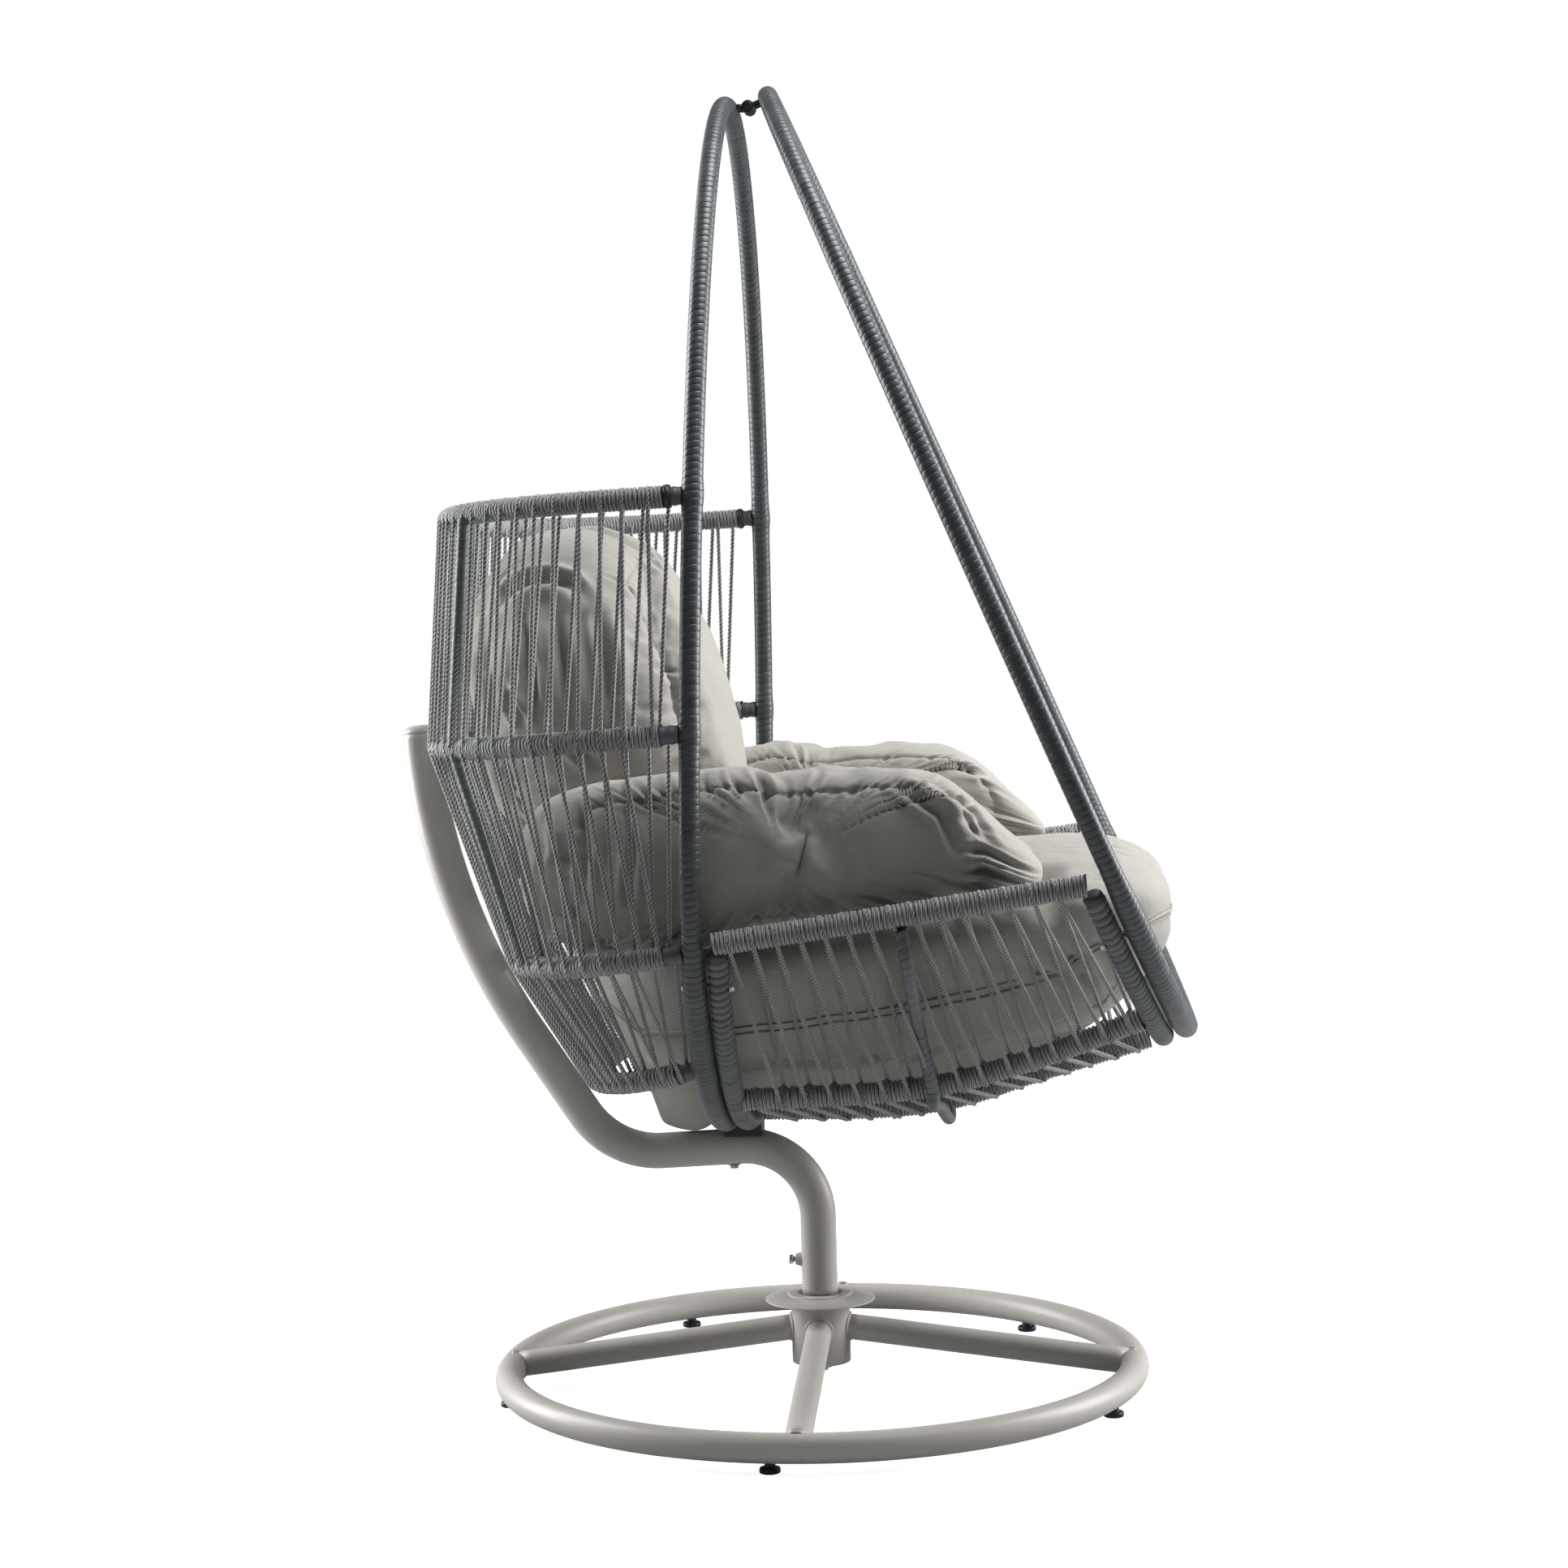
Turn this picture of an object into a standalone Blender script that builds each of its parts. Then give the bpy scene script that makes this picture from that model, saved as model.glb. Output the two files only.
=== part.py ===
"""Swivelling egg chair: two hinged hoops, a strung back basket, a strung seat
cradle and loose cushions on a bent post over a ring base.

Metres, +Z up. The chair faces -Y, the sitter's left is +X. Most places are given
as (f, w, z): f metres in front of the swivel axis, w metres towards the sitter's
right, z metres above the floor.
"""
import math

import bmesh
import bpy
from mathutils import Matrix, Vector

# ---- driving dimensions ------------------------------------------------------
GAP = 0.0003                 # clearance left between touching pieces
AXIS_Y = -0.021              # where the swivel axis stands in the object's frame

RING_RADIUS = 0.479          # base ring, to the middle of its tube
RING_TUBE = 0.0215
RING_Z = 0.034
SPOKE_TUBE = 0.0195
SPOKE_HUB_Z = 0.094
SPOKE_END_CLEARANCE = 0.0030 # a spoke's square end slopes, so its corner is the near point
HUB_OUTER = 0.045
HUB_INNER = 0.036
HUB_Z = (0.040, 0.136)
DISC_RADIUS = 0.084
DISC_HOLE = 0.033
FOOT_COUNT = 5
FOOT_FIRST = -4.5            # degrees from the sitter's right towards the front
FOOT_RADIUS = 0.015

POST_TUBE = 0.0275
SPINDLE_RADIUS = 0.0235
SPINDLE_TOP = 0.262
SET_BOLT_Z = 0.198

HOOP_WIDTH = 0.55            # half width of both hoops, to the tube's middle
HOOP_UPPER = 1.074           # widest line to the top
HOOP_LOWER = 0.454           # widest line to the bottom
HOOP_TUBE = 0.0148
REAR_LEAN = math.radians(1.28)
REAR_WIDEST = (-0.117, 0.878)          # f, z of the rear hoop's widest line
FRONT_LEAN = math.radians(-22.9)
FRONT_TOP = (-0.030, 1.964)            # f, z of the front hoop's top
HINGE = (-0.0615, 1.9515)              # f, z of the hinge between the hoops
HINGE_BARREL = 0.0095

U_TUBE = 0.0135
MID_U_TUBE = 0.009
RAIL_TUBE = 0.0165
RING_WRAP = 0.016            # back ring with its cord wrapping
RING_END_CLEARANCE = 0.0040  # a sloping ring has a square end, so its corner is the near point
RIB_TUBE = 0.008
REAR_U_OFFSET = 0.034
FRONT_U_OFFSET = -0.036
RAIL_REAR_Z = 0.742
RAIL_FRONT_Z = 0.812
CORD_SHEET = 0.005           # thickness of a strung panel
BOLT_RADIUS = 0.004

# back rings: z at the hoop, z at the rear, f of the rear, roundness of the plan
BACK_RINGS = {
    "rim_ring": (1.352, 1.338, -0.518, 2.5),
    "middle_ring": (1.029, 1.005, -0.540, 2.5),
    "lower_ring": (0.727, 0.690, -0.427, 2.5),
    "bottom_ring": (0.547, 0.505, -0.325, 2.3),
}
RIB_ANGLE = math.radians(41)           # where the corner ribs stand on the rings

POST_CORNERS = ((-0.594, 1.020), (-0.575, 0.760), (-0.315, 0.365), (0.0, 0.380), (0.0, 0.1475))
POST_BENDS = (0.95, 0.135, 0.11)
KEEL_Z, KEEL_FLAT, KEEL_CURVE, KEEL_STRAIGHT, KEEL_SLOPE = 0.430, 0.08, 0.78, 0.45, 0.55

COLOURS = {
    "powder_coat": ((0.40, 0.385, 0.36), 0.42, 0.0),
    "hoop_wrap": ((0.10, 0.115, 0.125), 0.45, 0.0),
    "cord": ((0.17, 0.18, 0.18), 0.75, 0.0),
    "cushion": ((0.40, 0.385, 0.35), 0.9, 0.0),
    "steel": ((0.55, 0.56, 0.57), 0.3, 1.0),
    "black_steel": ((0.03, 0.03, 0.032), 0.4, 1.0),
    "bearing_nylon": ((0.75, 0.75, 0.72), 0.5, 0.0),
    "foot_plastic": ((0.012, 0.016, 0.025), 0.5, 0.0),
}


# ---- scene and shared helpers ------------------------------------------------
def clear_scene():
    for obj in list(bpy.data.objects):
        bpy.data.objects.remove(obj, do_unlink=True)
    parts = bpy.data.collections.new("egg_chair")
    cutters = bpy.data.collections.new("cutters")
    bpy.context.scene.collection.children.link(parts)
    bpy.context.scene.collection.children.link(cutters)
    return parts, cutters


def finish_material(name):
    colour, roughness, metallic = COLOURS[name]
    material = bpy.data.materials.get(name)
    if material is None:
        material = bpy.data.materials.new(name)
        material.use_nodes = True
        shader = material.node_tree.nodes["Principled BSDF"]
        shader.inputs["Base Color"].default_value = (*colour, 1)
        shader.inputs["Roughness"].default_value = roughness
        shader.inputs["Metallic"].default_value = metallic
    return material


def place(f, w, z):
    """A point in the object's frame from its place in front of the axis."""
    return Vector((-w, AXIS_Y - f, z))


def new_object(name, mesh, material, collection=None):
    obj = bpy.data.objects.new(name, mesh)
    (collection or PARTS).objects.link(obj)
    if material:
        mesh.materials.clear()
        mesh.materials.append(finish_material(material))
    mesh.shade_smooth()
    mesh.set_sharp_from_angle(angle=math.radians(40))
    return obj


def tube_mesh(name, points, radius, closed=False, sides=5):
    """A round tube along the points, as one closed mesh. 2 * sides faces around."""
    curve = bpy.data.curves.new(name, "CURVE")
    curve.dimensions = "3D"
    curve.bevel_depth = radius
    curve.bevel_resolution = sides - 2
    curve.use_fill_caps = not closed
    spline = curve.splines.new("POLY")
    spline.points.add(len(points) - 1)
    for place_in_spline, point in zip(spline.points, points):
        place_in_spline.co = (*point, 1)
    spline.use_cyclic_u = closed
    holder = bpy.data.objects.new(name, curve)
    PARTS.objects.link(holder)
    evaluated = holder.evaluated_get(bpy.context.evaluated_depsgraph_get())
    mesh = bpy.data.meshes.new_from_object(evaluated)
    bpy.data.objects.remove(holder, do_unlink=True)
    bpy.data.curves.remove(curve)
    work = bmesh.new()
    work.from_mesh(mesh)
    bmesh.ops.remove_doubles(work, verts=work.verts, dist=0.00001)
    bmesh.ops.recalc_face_normals(work, faces=work.faces)
    work.to_mesh(mesh)
    work.free()
    mesh.name = name
    return mesh


def tube(name, points, radius, material, closed=False, sides=5):
    return new_object(name, tube_mesh(name, points, radius, closed, sides), material)


def hide_cutter(obj):
    obj.hide_render = True
    obj.display_type = "WIRE"
    return obj


def tube_cutter(name, points, radius, closed=False, sides=5):
    mesh = tube_mesh(name, points, radius, closed, sides)
    return hide_cutter(new_object(name, mesh, None, CUTTERS))


def cylinder_mesh(name, radius, start, end, segments=16, radius_end=None):
    work = bmesh.new()
    length = (end - start).length
    bmesh.ops.create_cone(work, cap_ends=True, segments=segments, radius1=radius,
                          radius2=radius if radius_end is None else radius_end, depth=length)
    turn = (end - start).to_track_quat("Z", "Y").to_matrix().to_4x4()
    bmesh.ops.transform(work, matrix=Matrix.Translation((start + end) / 2) @ turn, verts=work.verts)
    mesh = bpy.data.meshes.new(name)
    work.to_mesh(mesh)
    work.free()
    return mesh


def cylinder_cutter(name, radius, start, end, segments=16):
    return hide_cutter(new_object(name, cylinder_mesh(name, radius, start, end, segments), None, CUTTERS))


def box_mesh(name, centre, size):
    work = bmesh.new()
    bmesh.ops.create_cube(work, size=1)
    bmesh.ops.scale(work, vec=size, verts=work.verts)
    bmesh.ops.translate(work, vec=centre, verts=work.verts)
    mesh = bpy.data.meshes.new(name)
    work.to_mesh(mesh)
    work.free()
    return mesh


def boolean(obj, other, operation="DIFFERENCE"):
    step = obj.modifiers.new(other.name, "BOOLEAN")
    step.operation = operation
    step.solver = "EXACT"
    step.object = other
    return obj


def turned(name, profile, material, height=0.0, segments=24):
    """A solid turned about the swivel axis; profile is (radius, z), down the outer side."""
    mesh = bpy.data.meshes.new(name)
    closed = profile[0][0] > 0
    edges = [(i, i + 1) for i in range(len(profile) - 1)]
    if closed:
        edges.append((len(profile) - 1, 0))
    mesh.from_pydata([(radius, 0, z) for radius, z in profile], edges, [])
    obj = new_object(name, mesh, material)
    obj.location = place(0, 0, height)
    screw = obj.modifiers.new("turn", "SCREW")
    screw.axis = "Z"
    screw.steps = segments
    screw.render_steps = segments
    screw.use_merge_vertices = True
    screw.merge_threshold = 0.00005
    return obj


def bolt(name, head_centre, tip, head_radius, head_length, material, sides=6):
    """A screw from the middle of its head's outer face to its tip."""
    along = (tip - head_centre).normalized()
    head_end = head_centre + along * head_length
    mesh = cylinder_mesh(name, head_radius, head_centre, head_end, sides)
    shank = cylinder_mesh(name + "_shank", BOLT_RADIUS, head_centre + along * head_length / 2, tip, 12)
    obj = new_object(name, mesh, material)
    return boolean(obj, hide_cutter(new_object(name + "_shank", shank, None, CUTTERS)), "UNION")


# ---- shared curves -----------------------------------------------------------
def smooth_route(points, steps):
    """Points along a Catmull-Rom curve through the given ones."""
    known = [2 * points[0] - points[1], *points, 2 * points[-1] - points[-2]]
    route = []
    for a, b, c, d in zip(known, known[1:], known[2:], known[3:]):
        for step in range(steps):
            t = step / steps
            route.append(0.5 * (2 * b + (c - a) * t + (2 * a - 5 * b + 4 * c - d) * t ** 2
                                + (3 * b - a - 3 * c + d) * t ** 3))
    return route + [points[-1].copy()]


def bent_route(corners, radii, steps):
    """Straight runs between corners, each corner rounded by an arc of its radius."""
    route = [corners[0]]
    for before, corner, after, radius in zip(corners, corners[1:], corners[2:], radii):
        into, out = (corner - before).normalized(), (after - corner).normalized()
        turn = into.angle(out)
        inside = (out - into * out.dot(into)).normalized()
        start = corner - into * radius * math.tan(turn / 2)
        for step in range(steps + 1):
            angle = turn * step / steps
            route.append(start + inside * radius * (1 - math.cos(angle)) + into * radius * math.sin(angle))
    return route + [corners[-1]]


def keel_height(f):
    """Height of the seat's centre rail at a place: level, then curving up, then straight."""
    curved = max(0.0, min(f, KEEL_STRAIGHT) - KEEL_FLAT)
    return KEEL_Z + KEEL_CURVE * curved ** 2 + KEEL_SLOPE * max(0.0, f - KEEL_STRAIGHT)


def half_width(height):
    """Half width of the egg at a height above its widest line."""
    reach = HOOP_UPPER if height > 0 else HOOP_LOWER
    return HOOP_WIDTH * math.sqrt(max(0.0, 1 - (height / reach) ** 2))


def hoop_plane(front):
    """f, z of the widest line and the lean of a hoop."""
    if front:
        f = FRONT_TOP[0] - HOOP_UPPER * math.sin(FRONT_LEAN)
        z = FRONT_TOP[1] - HOOP_UPPER * math.cos(FRONT_LEAN)
        return f, z, FRONT_LEAN
    return REAR_WIDEST[0], REAR_WIDEST[1], REAR_LEAN


def egg_point(front, angle, offset=0.0):
    """A point of the egg, at an angle from its widest line, offset ahead of its plane."""
    f, z, lean = hoop_plane(front)
    height = math.sin(angle) * (HOOP_UPPER if math.sin(angle) > 0 else HOOP_LOWER)
    return place(f + height * math.sin(lean) + offset * math.cos(lean),
                 HOOP_WIDTH * math.cos(angle),
                 z + height * math.cos(lean) - offset * math.sin(lean))


def egg_at(front, z, offset=0.0):
    """f, w of the egg on the sitter's right at a height above the floor."""
    f0, z0, lean = hoop_plane(front)
    height = (z - z0 + offset * math.sin(lean)) / math.cos(lean)
    return f0 + height * math.sin(lean) + offset * math.cos(lean), half_width(height)


def hoop_points(front, count=52):
    """The egg's outline, with points closer together where it bends more."""
    return [egg_point(front, 2 * math.pi * i / count) for i in range(count)]


def hoop_normal(front):
    lean = hoop_plane(front)[2]
    return Vector((0, -math.cos(lean), -math.sin(lean)))


def lower_egg(front, offset, top_z, count):
    """The egg's lower part, from the right side at top_z round to the left."""
    f0, z0, lean = hoop_plane(front)
    drop = (z0 - offset * math.sin(lean) - top_z) / math.cos(lean) / HOOP_LOWER
    start = math.asin(drop)
    angles = [start + (math.pi - 2 * start) * i / (count - 1) for i in range(count)]
    return [egg_point(front, -angle, offset) for angle in angles]


def ring_point(name, angle, outward=0.0):
    """A point on a back ring: angle -90 is its left end, 0 the rear, 90 its right end."""
    z_hoop, z_rear, f_rear, power = BACK_RINGS[name]
    f_hoop, w_hoop = egg_at(False, z_hoop)
    f_start = f_hoop - HOOP_TUBE - RING_END_CLEARANCE
    side = math.copysign(abs(math.sin(angle)) ** (2 / power), math.sin(angle))
    back = max(0.0, math.cos(angle)) ** (2 / power)
    f = f_start + (f_rear - outward - f_start) * back
    z = z_hoop + (z_rear - z_hoop) * back
    return place(f, (w_hoop + outward) * side, z)


# ---- base --------------------------------------------------------------------
def make_base():
    circle = [place(RING_RADIUS * math.cos(a), RING_RADIUS * math.sin(a), RING_Z)
              for a in (2 * math.pi * i / 52 for i in range(52))]
    tube("base_ring", circle, RING_TUBE, "powder_coat", closed=True, sides=4)
    inner = HUB_OUTER + SPOKE_END_CLEARANCE
    outer = RING_RADIUS - RING_TUBE - SPOKE_END_CLEARANCE
    for number, (f, w) in enumerate(((0, 1), (1, 0), (0, -1), (-1, 0)), 1):
        start = place(inner * f, inner * w, SPOKE_HUB_Z)
        end = place(outer * f, outer * w, RING_Z + 0.003)
        new_object(f"spoke_{number}", cylinder_mesh("spoke", SPOKE_TUBE, start, end, 14), "powder_coat")
    for number in range(FOOT_COUNT):
        angle = math.radians(FOOT_FIRST + number * 360 / FOOT_COUNT)
        foot = turned(f"foot_{number + 1}", ((0, 0.0122), (0.0075, 0.0122), (0.0085, 0.0085),
                                             (FOOT_RADIUS, 0.0065), (FOOT_RADIUS, 0.0), (0, 0.0)),
                      "foot_plastic", segments=12)
        foot.location = place(RING_RADIUS * math.sin(angle), RING_RADIUS * math.cos(angle), 0)


def make_hub():
    low, high = HUB_Z
    hub = turned("hub_tube", ((HUB_OUTER, high), (HUB_OUTER, low), (HUB_INNER, low), (HUB_INNER, high)),
                 "powder_coat", segments=28)
    knob_way = Vector((1, -1, 0)).normalized()
    axis = place(0, 0, 0.1225)
    boolean(hub, cylinder_cutter("knob_hole", BOLT_RADIUS + GAP, axis + knob_way * 0.030,
                                 axis + knob_way * 0.060, 12))
    bolt("hub_knob", axis + knob_way * 0.067, axis + knob_way * 0.0375, 0.0095, 0.017, "foot_plastic", 12)
    bearing = ((HUB_INNER - GAP, 0.016), (HUB_INNER - GAP, 0), (SPINDLE_RADIUS + GAP, 0),
               (SPINDLE_RADIUS + GAP, 0.016))
    turned("lower_bearing", bearing, "bearing_nylon", 0.050)
    turned("upper_bearing", bearing, "bearing_nylon", 0.098)
    turned("cover_disc", ((DISC_HOLE, 0.1475), (0.047, 0.1470), (0.050, 0.1445), (DISC_RADIUS, 0.1385),
                          (DISC_RADIUS, 0.1365), (DISC_HOLE, 0.1365)), "powder_coat", segments=28)


def make_spindle():
    shoulder = SPINDLE_RADIUS + 0.006
    profile = ((0, SPINDLE_TOP), (SPINDLE_RADIUS - 0.002, SPINDLE_TOP), (SPINDLE_RADIUS, SPINDLE_TOP - 0.003),
               (SPINDLE_RADIUS, 0.1468), (shoulder, 0.1468), (shoulder, 0.1146), (SPINDLE_RADIUS, 0.1146),
               (SPINDLE_RADIUS, 0.0490), (0.010, 0.0490), (0.010, 0.0265), (0, 0.0265))
    turned("swivel_spindle", profile, "steel")
    turned("spindle_nut", ((0.0300, 0.0487), (0.0300, 0.0440), (0.0180, 0.0440), (0.0180, 0.0320),
                           (0.010 + GAP, 0.0320), (0.010 + GAP, 0.0487)), "steel", segments=18)


# ---- post --------------------------------------------------------------------
def make_post():
    route = bent_route([place(f, 0, z) for f, z in POST_CORNERS], POST_BENDS, 10)
    post = tube("post_tube", route, POST_TUBE, "powder_coat", sides=6)
    socket = cylinder_cutter("spindle_socket", SPINDLE_RADIUS + GAP, place(0, 0, 0.12),
                             place(0, 0, SPINDLE_TOP + GAP), 24)
    boss_face = -(POST_TUBE + 0.0085)
    boss = cylinder_mesh("set_bolt_boss", 0.0105, place(-0.025, 0, SET_BOLT_Z),
                         place(boss_face, 0, SET_BOLT_Z), 14, 0.0085)
    boolean(post, hide_cutter(new_object("set_bolt_boss", boss, None, CUTTERS)), "UNION")
    boolean(post, socket)
    boolean(post, cylinder_cutter("set_bolt_hole", BOLT_RADIUS + GAP, place(-0.06, 0, SET_BOLT_Z),
                                  place(-0.018, 0, SET_BOLT_Z), 12))
    bolt("set_bolt", place(boss_face - 0.0115, 0, SET_BOLT_Z),
         place(-SPINDLE_RADIUS - 2 * GAP, 0, SET_BOLT_Z), 0.0072, 0.0075, "steel")

    along = (route[0] - route[1]).normalized()
    cap_base = route[0] + along * GAP
    cap = turned("post_cap", ((0, 0.0125), (0.010, 0.0115), (0.0185, 0.0080), (0.0250, 0.0035),
                              (POST_TUBE, 0.0), (0, 0.0)), "powder_coat", segments=16)
    cap.matrix_world = Matrix.Translation(cap_base) @ along.to_track_quat("Z", "Y").to_matrix().to_4x4()
    return post, tube_cutter("post_clearance", route, POST_TUBE + GAP, sides=6)


def make_mounts(post, post_cutter, ring, ring_cutter, hoop, hoop_cutter, rear_u, u_cutter):
    """The two saddles that carry the chair on its post, and their bolts."""
    z = BACK_RINGS["middle_ring"][1]
    f_ring = BACK_RINGS["middle_ring"][2]
    upper = new_object("upper_saddle", box_mesh("upper_saddle", place(f_ring - 0.020, 0, z),
                                                (0.036, 0.034, 0.024)), "steel")
    boolean(upper, post_cutter)
    boolean(upper, ring_cutter)
    upper_hole = cylinder_cutter("upper_hole", BOLT_RADIUS + GAP, place(-0.605, 0, z),
                                 place(f_ring + 0.03, 0, z), 12)
    for piece in (upper, post, ring):
        boolean(piece, upper_hole)
    bolt("upper_mount_bolt", place(f_ring + RING_WRAP + 0.006, 0, z), place(-0.604, 0, z),
         0.0075, 0.0055, "steel")

    f_hoop = egg_at(False, REAR_WIDEST[1] - HOOP_LOWER)[0]
    lower = new_object("lower_saddle", box_mesh("lower_saddle", place(f_hoop + 0.017, 0, 0.4040),
                                                (0.052, 0.058, 0.022)), "powder_coat")
    for cutter in (post_cutter, hoop_cutter, u_cutter):
        boolean(lower, cutter)
    lower_hole = cylinder_cutter("lower_hole", BOLT_RADIUS + GAP, place(f_hoop, 0, 0.33),
                                 place(f_hoop, 0, 0.425), 12)
    for piece in (lower, post, hoop):
        boolean(piece, lower_hole)
    bolt("lower_mount_bolt", place(f_hoop, 0, 0.3400), place(f_hoop, 0, 0.4245), 0.0075, 0.0055, "steel")


# ---- hoops and hinge ---------------------------------------------------------
def make_hoops():
    pieces = []
    for name, front in (("rear_hoop", False), ("front_hoop", True)):
        points = hoop_points(front)
        pieces.append(tube(name, points, HOOP_TUBE, "hoop_wrap", closed=True, sides=4))
        pieces.append(tube_cutter(name + "_clearance", points, HOOP_TUBE + GAP, closed=True, sides=4))
    return pieces


def make_hinge(rear_cutter, front_cutter):
    """Two ears on the rear hoop, a barrel on the front hoop and the bolt through them."""
    axis = place(HINGE[0], 0, HINGE[1])
    side = Vector((1, 0, 0))
    rear_top = egg_point(False, math.pi / 2)
    front_top = egg_point(True, math.pi / 2)
    ears = new_object("rear_hinge_ears", box_mesh("rear_hinge_ears", (rear_top + axis) / 2,
                                                  (0.040, 0.022, 0.013)), "black_steel")
    knuckle = new_object("ear_knuckle", cylinder_mesh("ear_knuckle", HINGE_BARREL, axis - side * 0.020,
                                                      axis + side * 0.020, 16), None, CUTTERS)
    boolean(ears, hide_cutter(knuckle), "UNION")
    slot = new_object("ear_slot", box_mesh("ear_slot", axis + Vector((0, -0.001, 0)),
                                           (0.0236, 0.0245, 0.05)), None, CUTTERS)
    boolean(ears, hide_cutter(slot))
    boolean(ears, rear_cutter)
    barrel = new_object("front_hinge_barrel", cylinder_mesh("front_hinge_barrel", HINGE_BARREL,
                                                            axis - side * 0.0115, axis + side * 0.0115, 16),
                        "black_steel")
    link = cylinder_mesh("barrel_link", 0.0062, axis + (front_top - axis) * 0.1, front_top, 12)
    boolean(barrel, hide_cutter(new_object("barrel_link", link, None, CUTTERS)), "UNION")
    boolean(barrel, front_cutter)
    pin_hole = cylinder_cutter("pin_hole", BOLT_RADIUS + GAP, axis - side * 0.04, axis + side * 0.04, 12)
    boolean(ears, pin_hole)
    boolean(barrel, pin_hole)
    pin = bolt("hinge_bolt", axis - side * 0.0255, axis + side * 0.0275, 0.0065, 0.0052, "black_steel")
    nut = cylinder_mesh("hinge_nut", 0.0065, axis + side * 0.0203, axis + side * 0.0255, 6)
    boolean(pin, hide_cutter(new_object("hinge_nut", nut, None, CUTTERS)), "UNION")


# ---- back basket -------------------------------------------------------------
def strung_panel(name, upper_line, lower_line):
    """A thin closed sheet between two lines, standing in for the cords strung there."""
    work = bmesh.new()
    rows = [[work.verts.new(point) for point in line] for line in (upper_line, lower_line)]
    for i in range(len(upper_line) - 1):
        work.faces.new((rows[0][i], rows[0][i + 1], rows[1][i + 1], rows[1][i]))
    mesh = bpy.data.meshes.new(name)
    work.to_mesh(mesh)
    work.free()
    obj = new_object(name, mesh, "cord")
    solid = obj.modifiers.new("thickness", "SOLIDIFY")
    solid.thickness = CORD_SHEET
    solid.offset = 0
    solid.use_even_offset = True


def clear_of_ring(name, other, angle):
    """Where a cord that lies on the outside of two rings comes clear of the first one."""
    outside = ring_point(name, angle, 0.0135)
    along = (ring_point(other, angle, 0.0135) - outside).normalized()
    out = outside - ring_point(name, angle)
    reach = RING_WRAP + CORD_SHEET / 2 + 0.001
    slope = out.dot(along)
    return outside + along * (math.sqrt(slope ** 2 - out.length_squared + reach ** 2) - slope)


def make_basket():
    made = {}
    for name in BACK_RINGS:
        points = [ring_point(name, math.radians(-90 + 180 * i / 24)) for i in range(25)]
        made[name] = tube(name, points, RING_WRAP, "cord", sides=4)
        if name == "middle_ring":
            made["cutter"] = tube_cutter("middle_ring_clearance", points, RING_WRAP + GAP, sides=4)
    for number, (upper, lower) in enumerate((("rim_ring", "middle_ring"), ("middle_ring", "lower_ring")), 1):
        for side, sign in (("left", -1), ("right", 1)):
            top = ring_point(upper, sign * RIB_ANGLE)
            foot = ring_point(lower, sign * RIB_ANGLE)
            along = (top - foot).normalized()
            rib = cylinder_mesh("rib", RIB_TUBE, foot + along * (RING_WRAP + 0.0035),
                                top - along * (RING_WRAP + 0.0035), 10)
            new_object(f"rib_{number}_{side}", rib, "hoop_wrap")
    order = list(BACK_RINGS)
    for number, (upper, lower) in enumerate(zip(order, order[1:]), 1):
        angles = [math.radians(-89 + 178 * i / 24) for i in range(25)]
        upper_line = [clear_of_ring(upper, lower, angle) for angle in angles]
        lower_line = [clear_of_ring(lower, upper, angle) for angle in angles]
        strung_panel(f"back_cords_{number}", upper_line, lower_line)
    return made


# ---- seat cradle -------------------------------------------------------------
def seat_lines():
    """Middle lines of the seat's five rails, rear end first, on the sitter's right."""
    top_f0, top_w0 = egg_at(False, RAIL_REAR_Z, REAR_U_OFFSET)
    top_f1, top_w1 = egg_at(True, RAIL_FRONT_Z, FRONT_U_OFFSET)
    top = [(top_f0 - 0.010, top_w0, RAIL_REAR_Z - 0.002), (top_f1 + 0.004, top_w1, RAIL_FRONT_Z)]
    low_z0 = 0.490
    low_z1 = 0.600
    low_f0, low_w0 = egg_at(False, low_z0, REAR_U_OFFSET)
    low_f1, low_w1 = egg_at(True, low_z1, FRONT_U_OFFSET)
    clear = U_TUBE + 2 * GAP
    bottom = [(low_f0 + clear, low_w0, low_z0), (0.16, 0.272, 0.500), (0.32, 0.262, 0.535),
              (low_f1 - clear - 0.0050, low_w1, low_z1)]
    mid_f0 = egg_at(False, 0.4245, REAR_U_OFFSET)[0]
    mid_f1 = egg_at(True, 0.5600, FRONT_U_OFFSET)[0]
    centre = [(mid_f0 + clear, 0, KEEL_Z), (mid_f1 - 0.0155, 0, 0.5350)]
    centre[1:1] = [(f, 0, keel_height(f)) for f in (0.10, 0.22, 0.34)]
    return top, bottom, centre


def mirrored(points, side):
    return [place(f, w * side, z) for f, w, z in points]


def line_at(points, share):
    """The point a share of the way along a list of (f, w, z)."""
    vectors = [Vector(point) for point in points]
    lengths = [(b - a).length for a, b in zip(vectors, vectors[1:])]
    goal = share * sum(lengths)
    for a, b, length in zip(vectors, vectors[1:], lengths):
        if goal <= length:
            return a.lerp(b, goal / length)
        goal -= length
    return vectors[-1]


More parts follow.
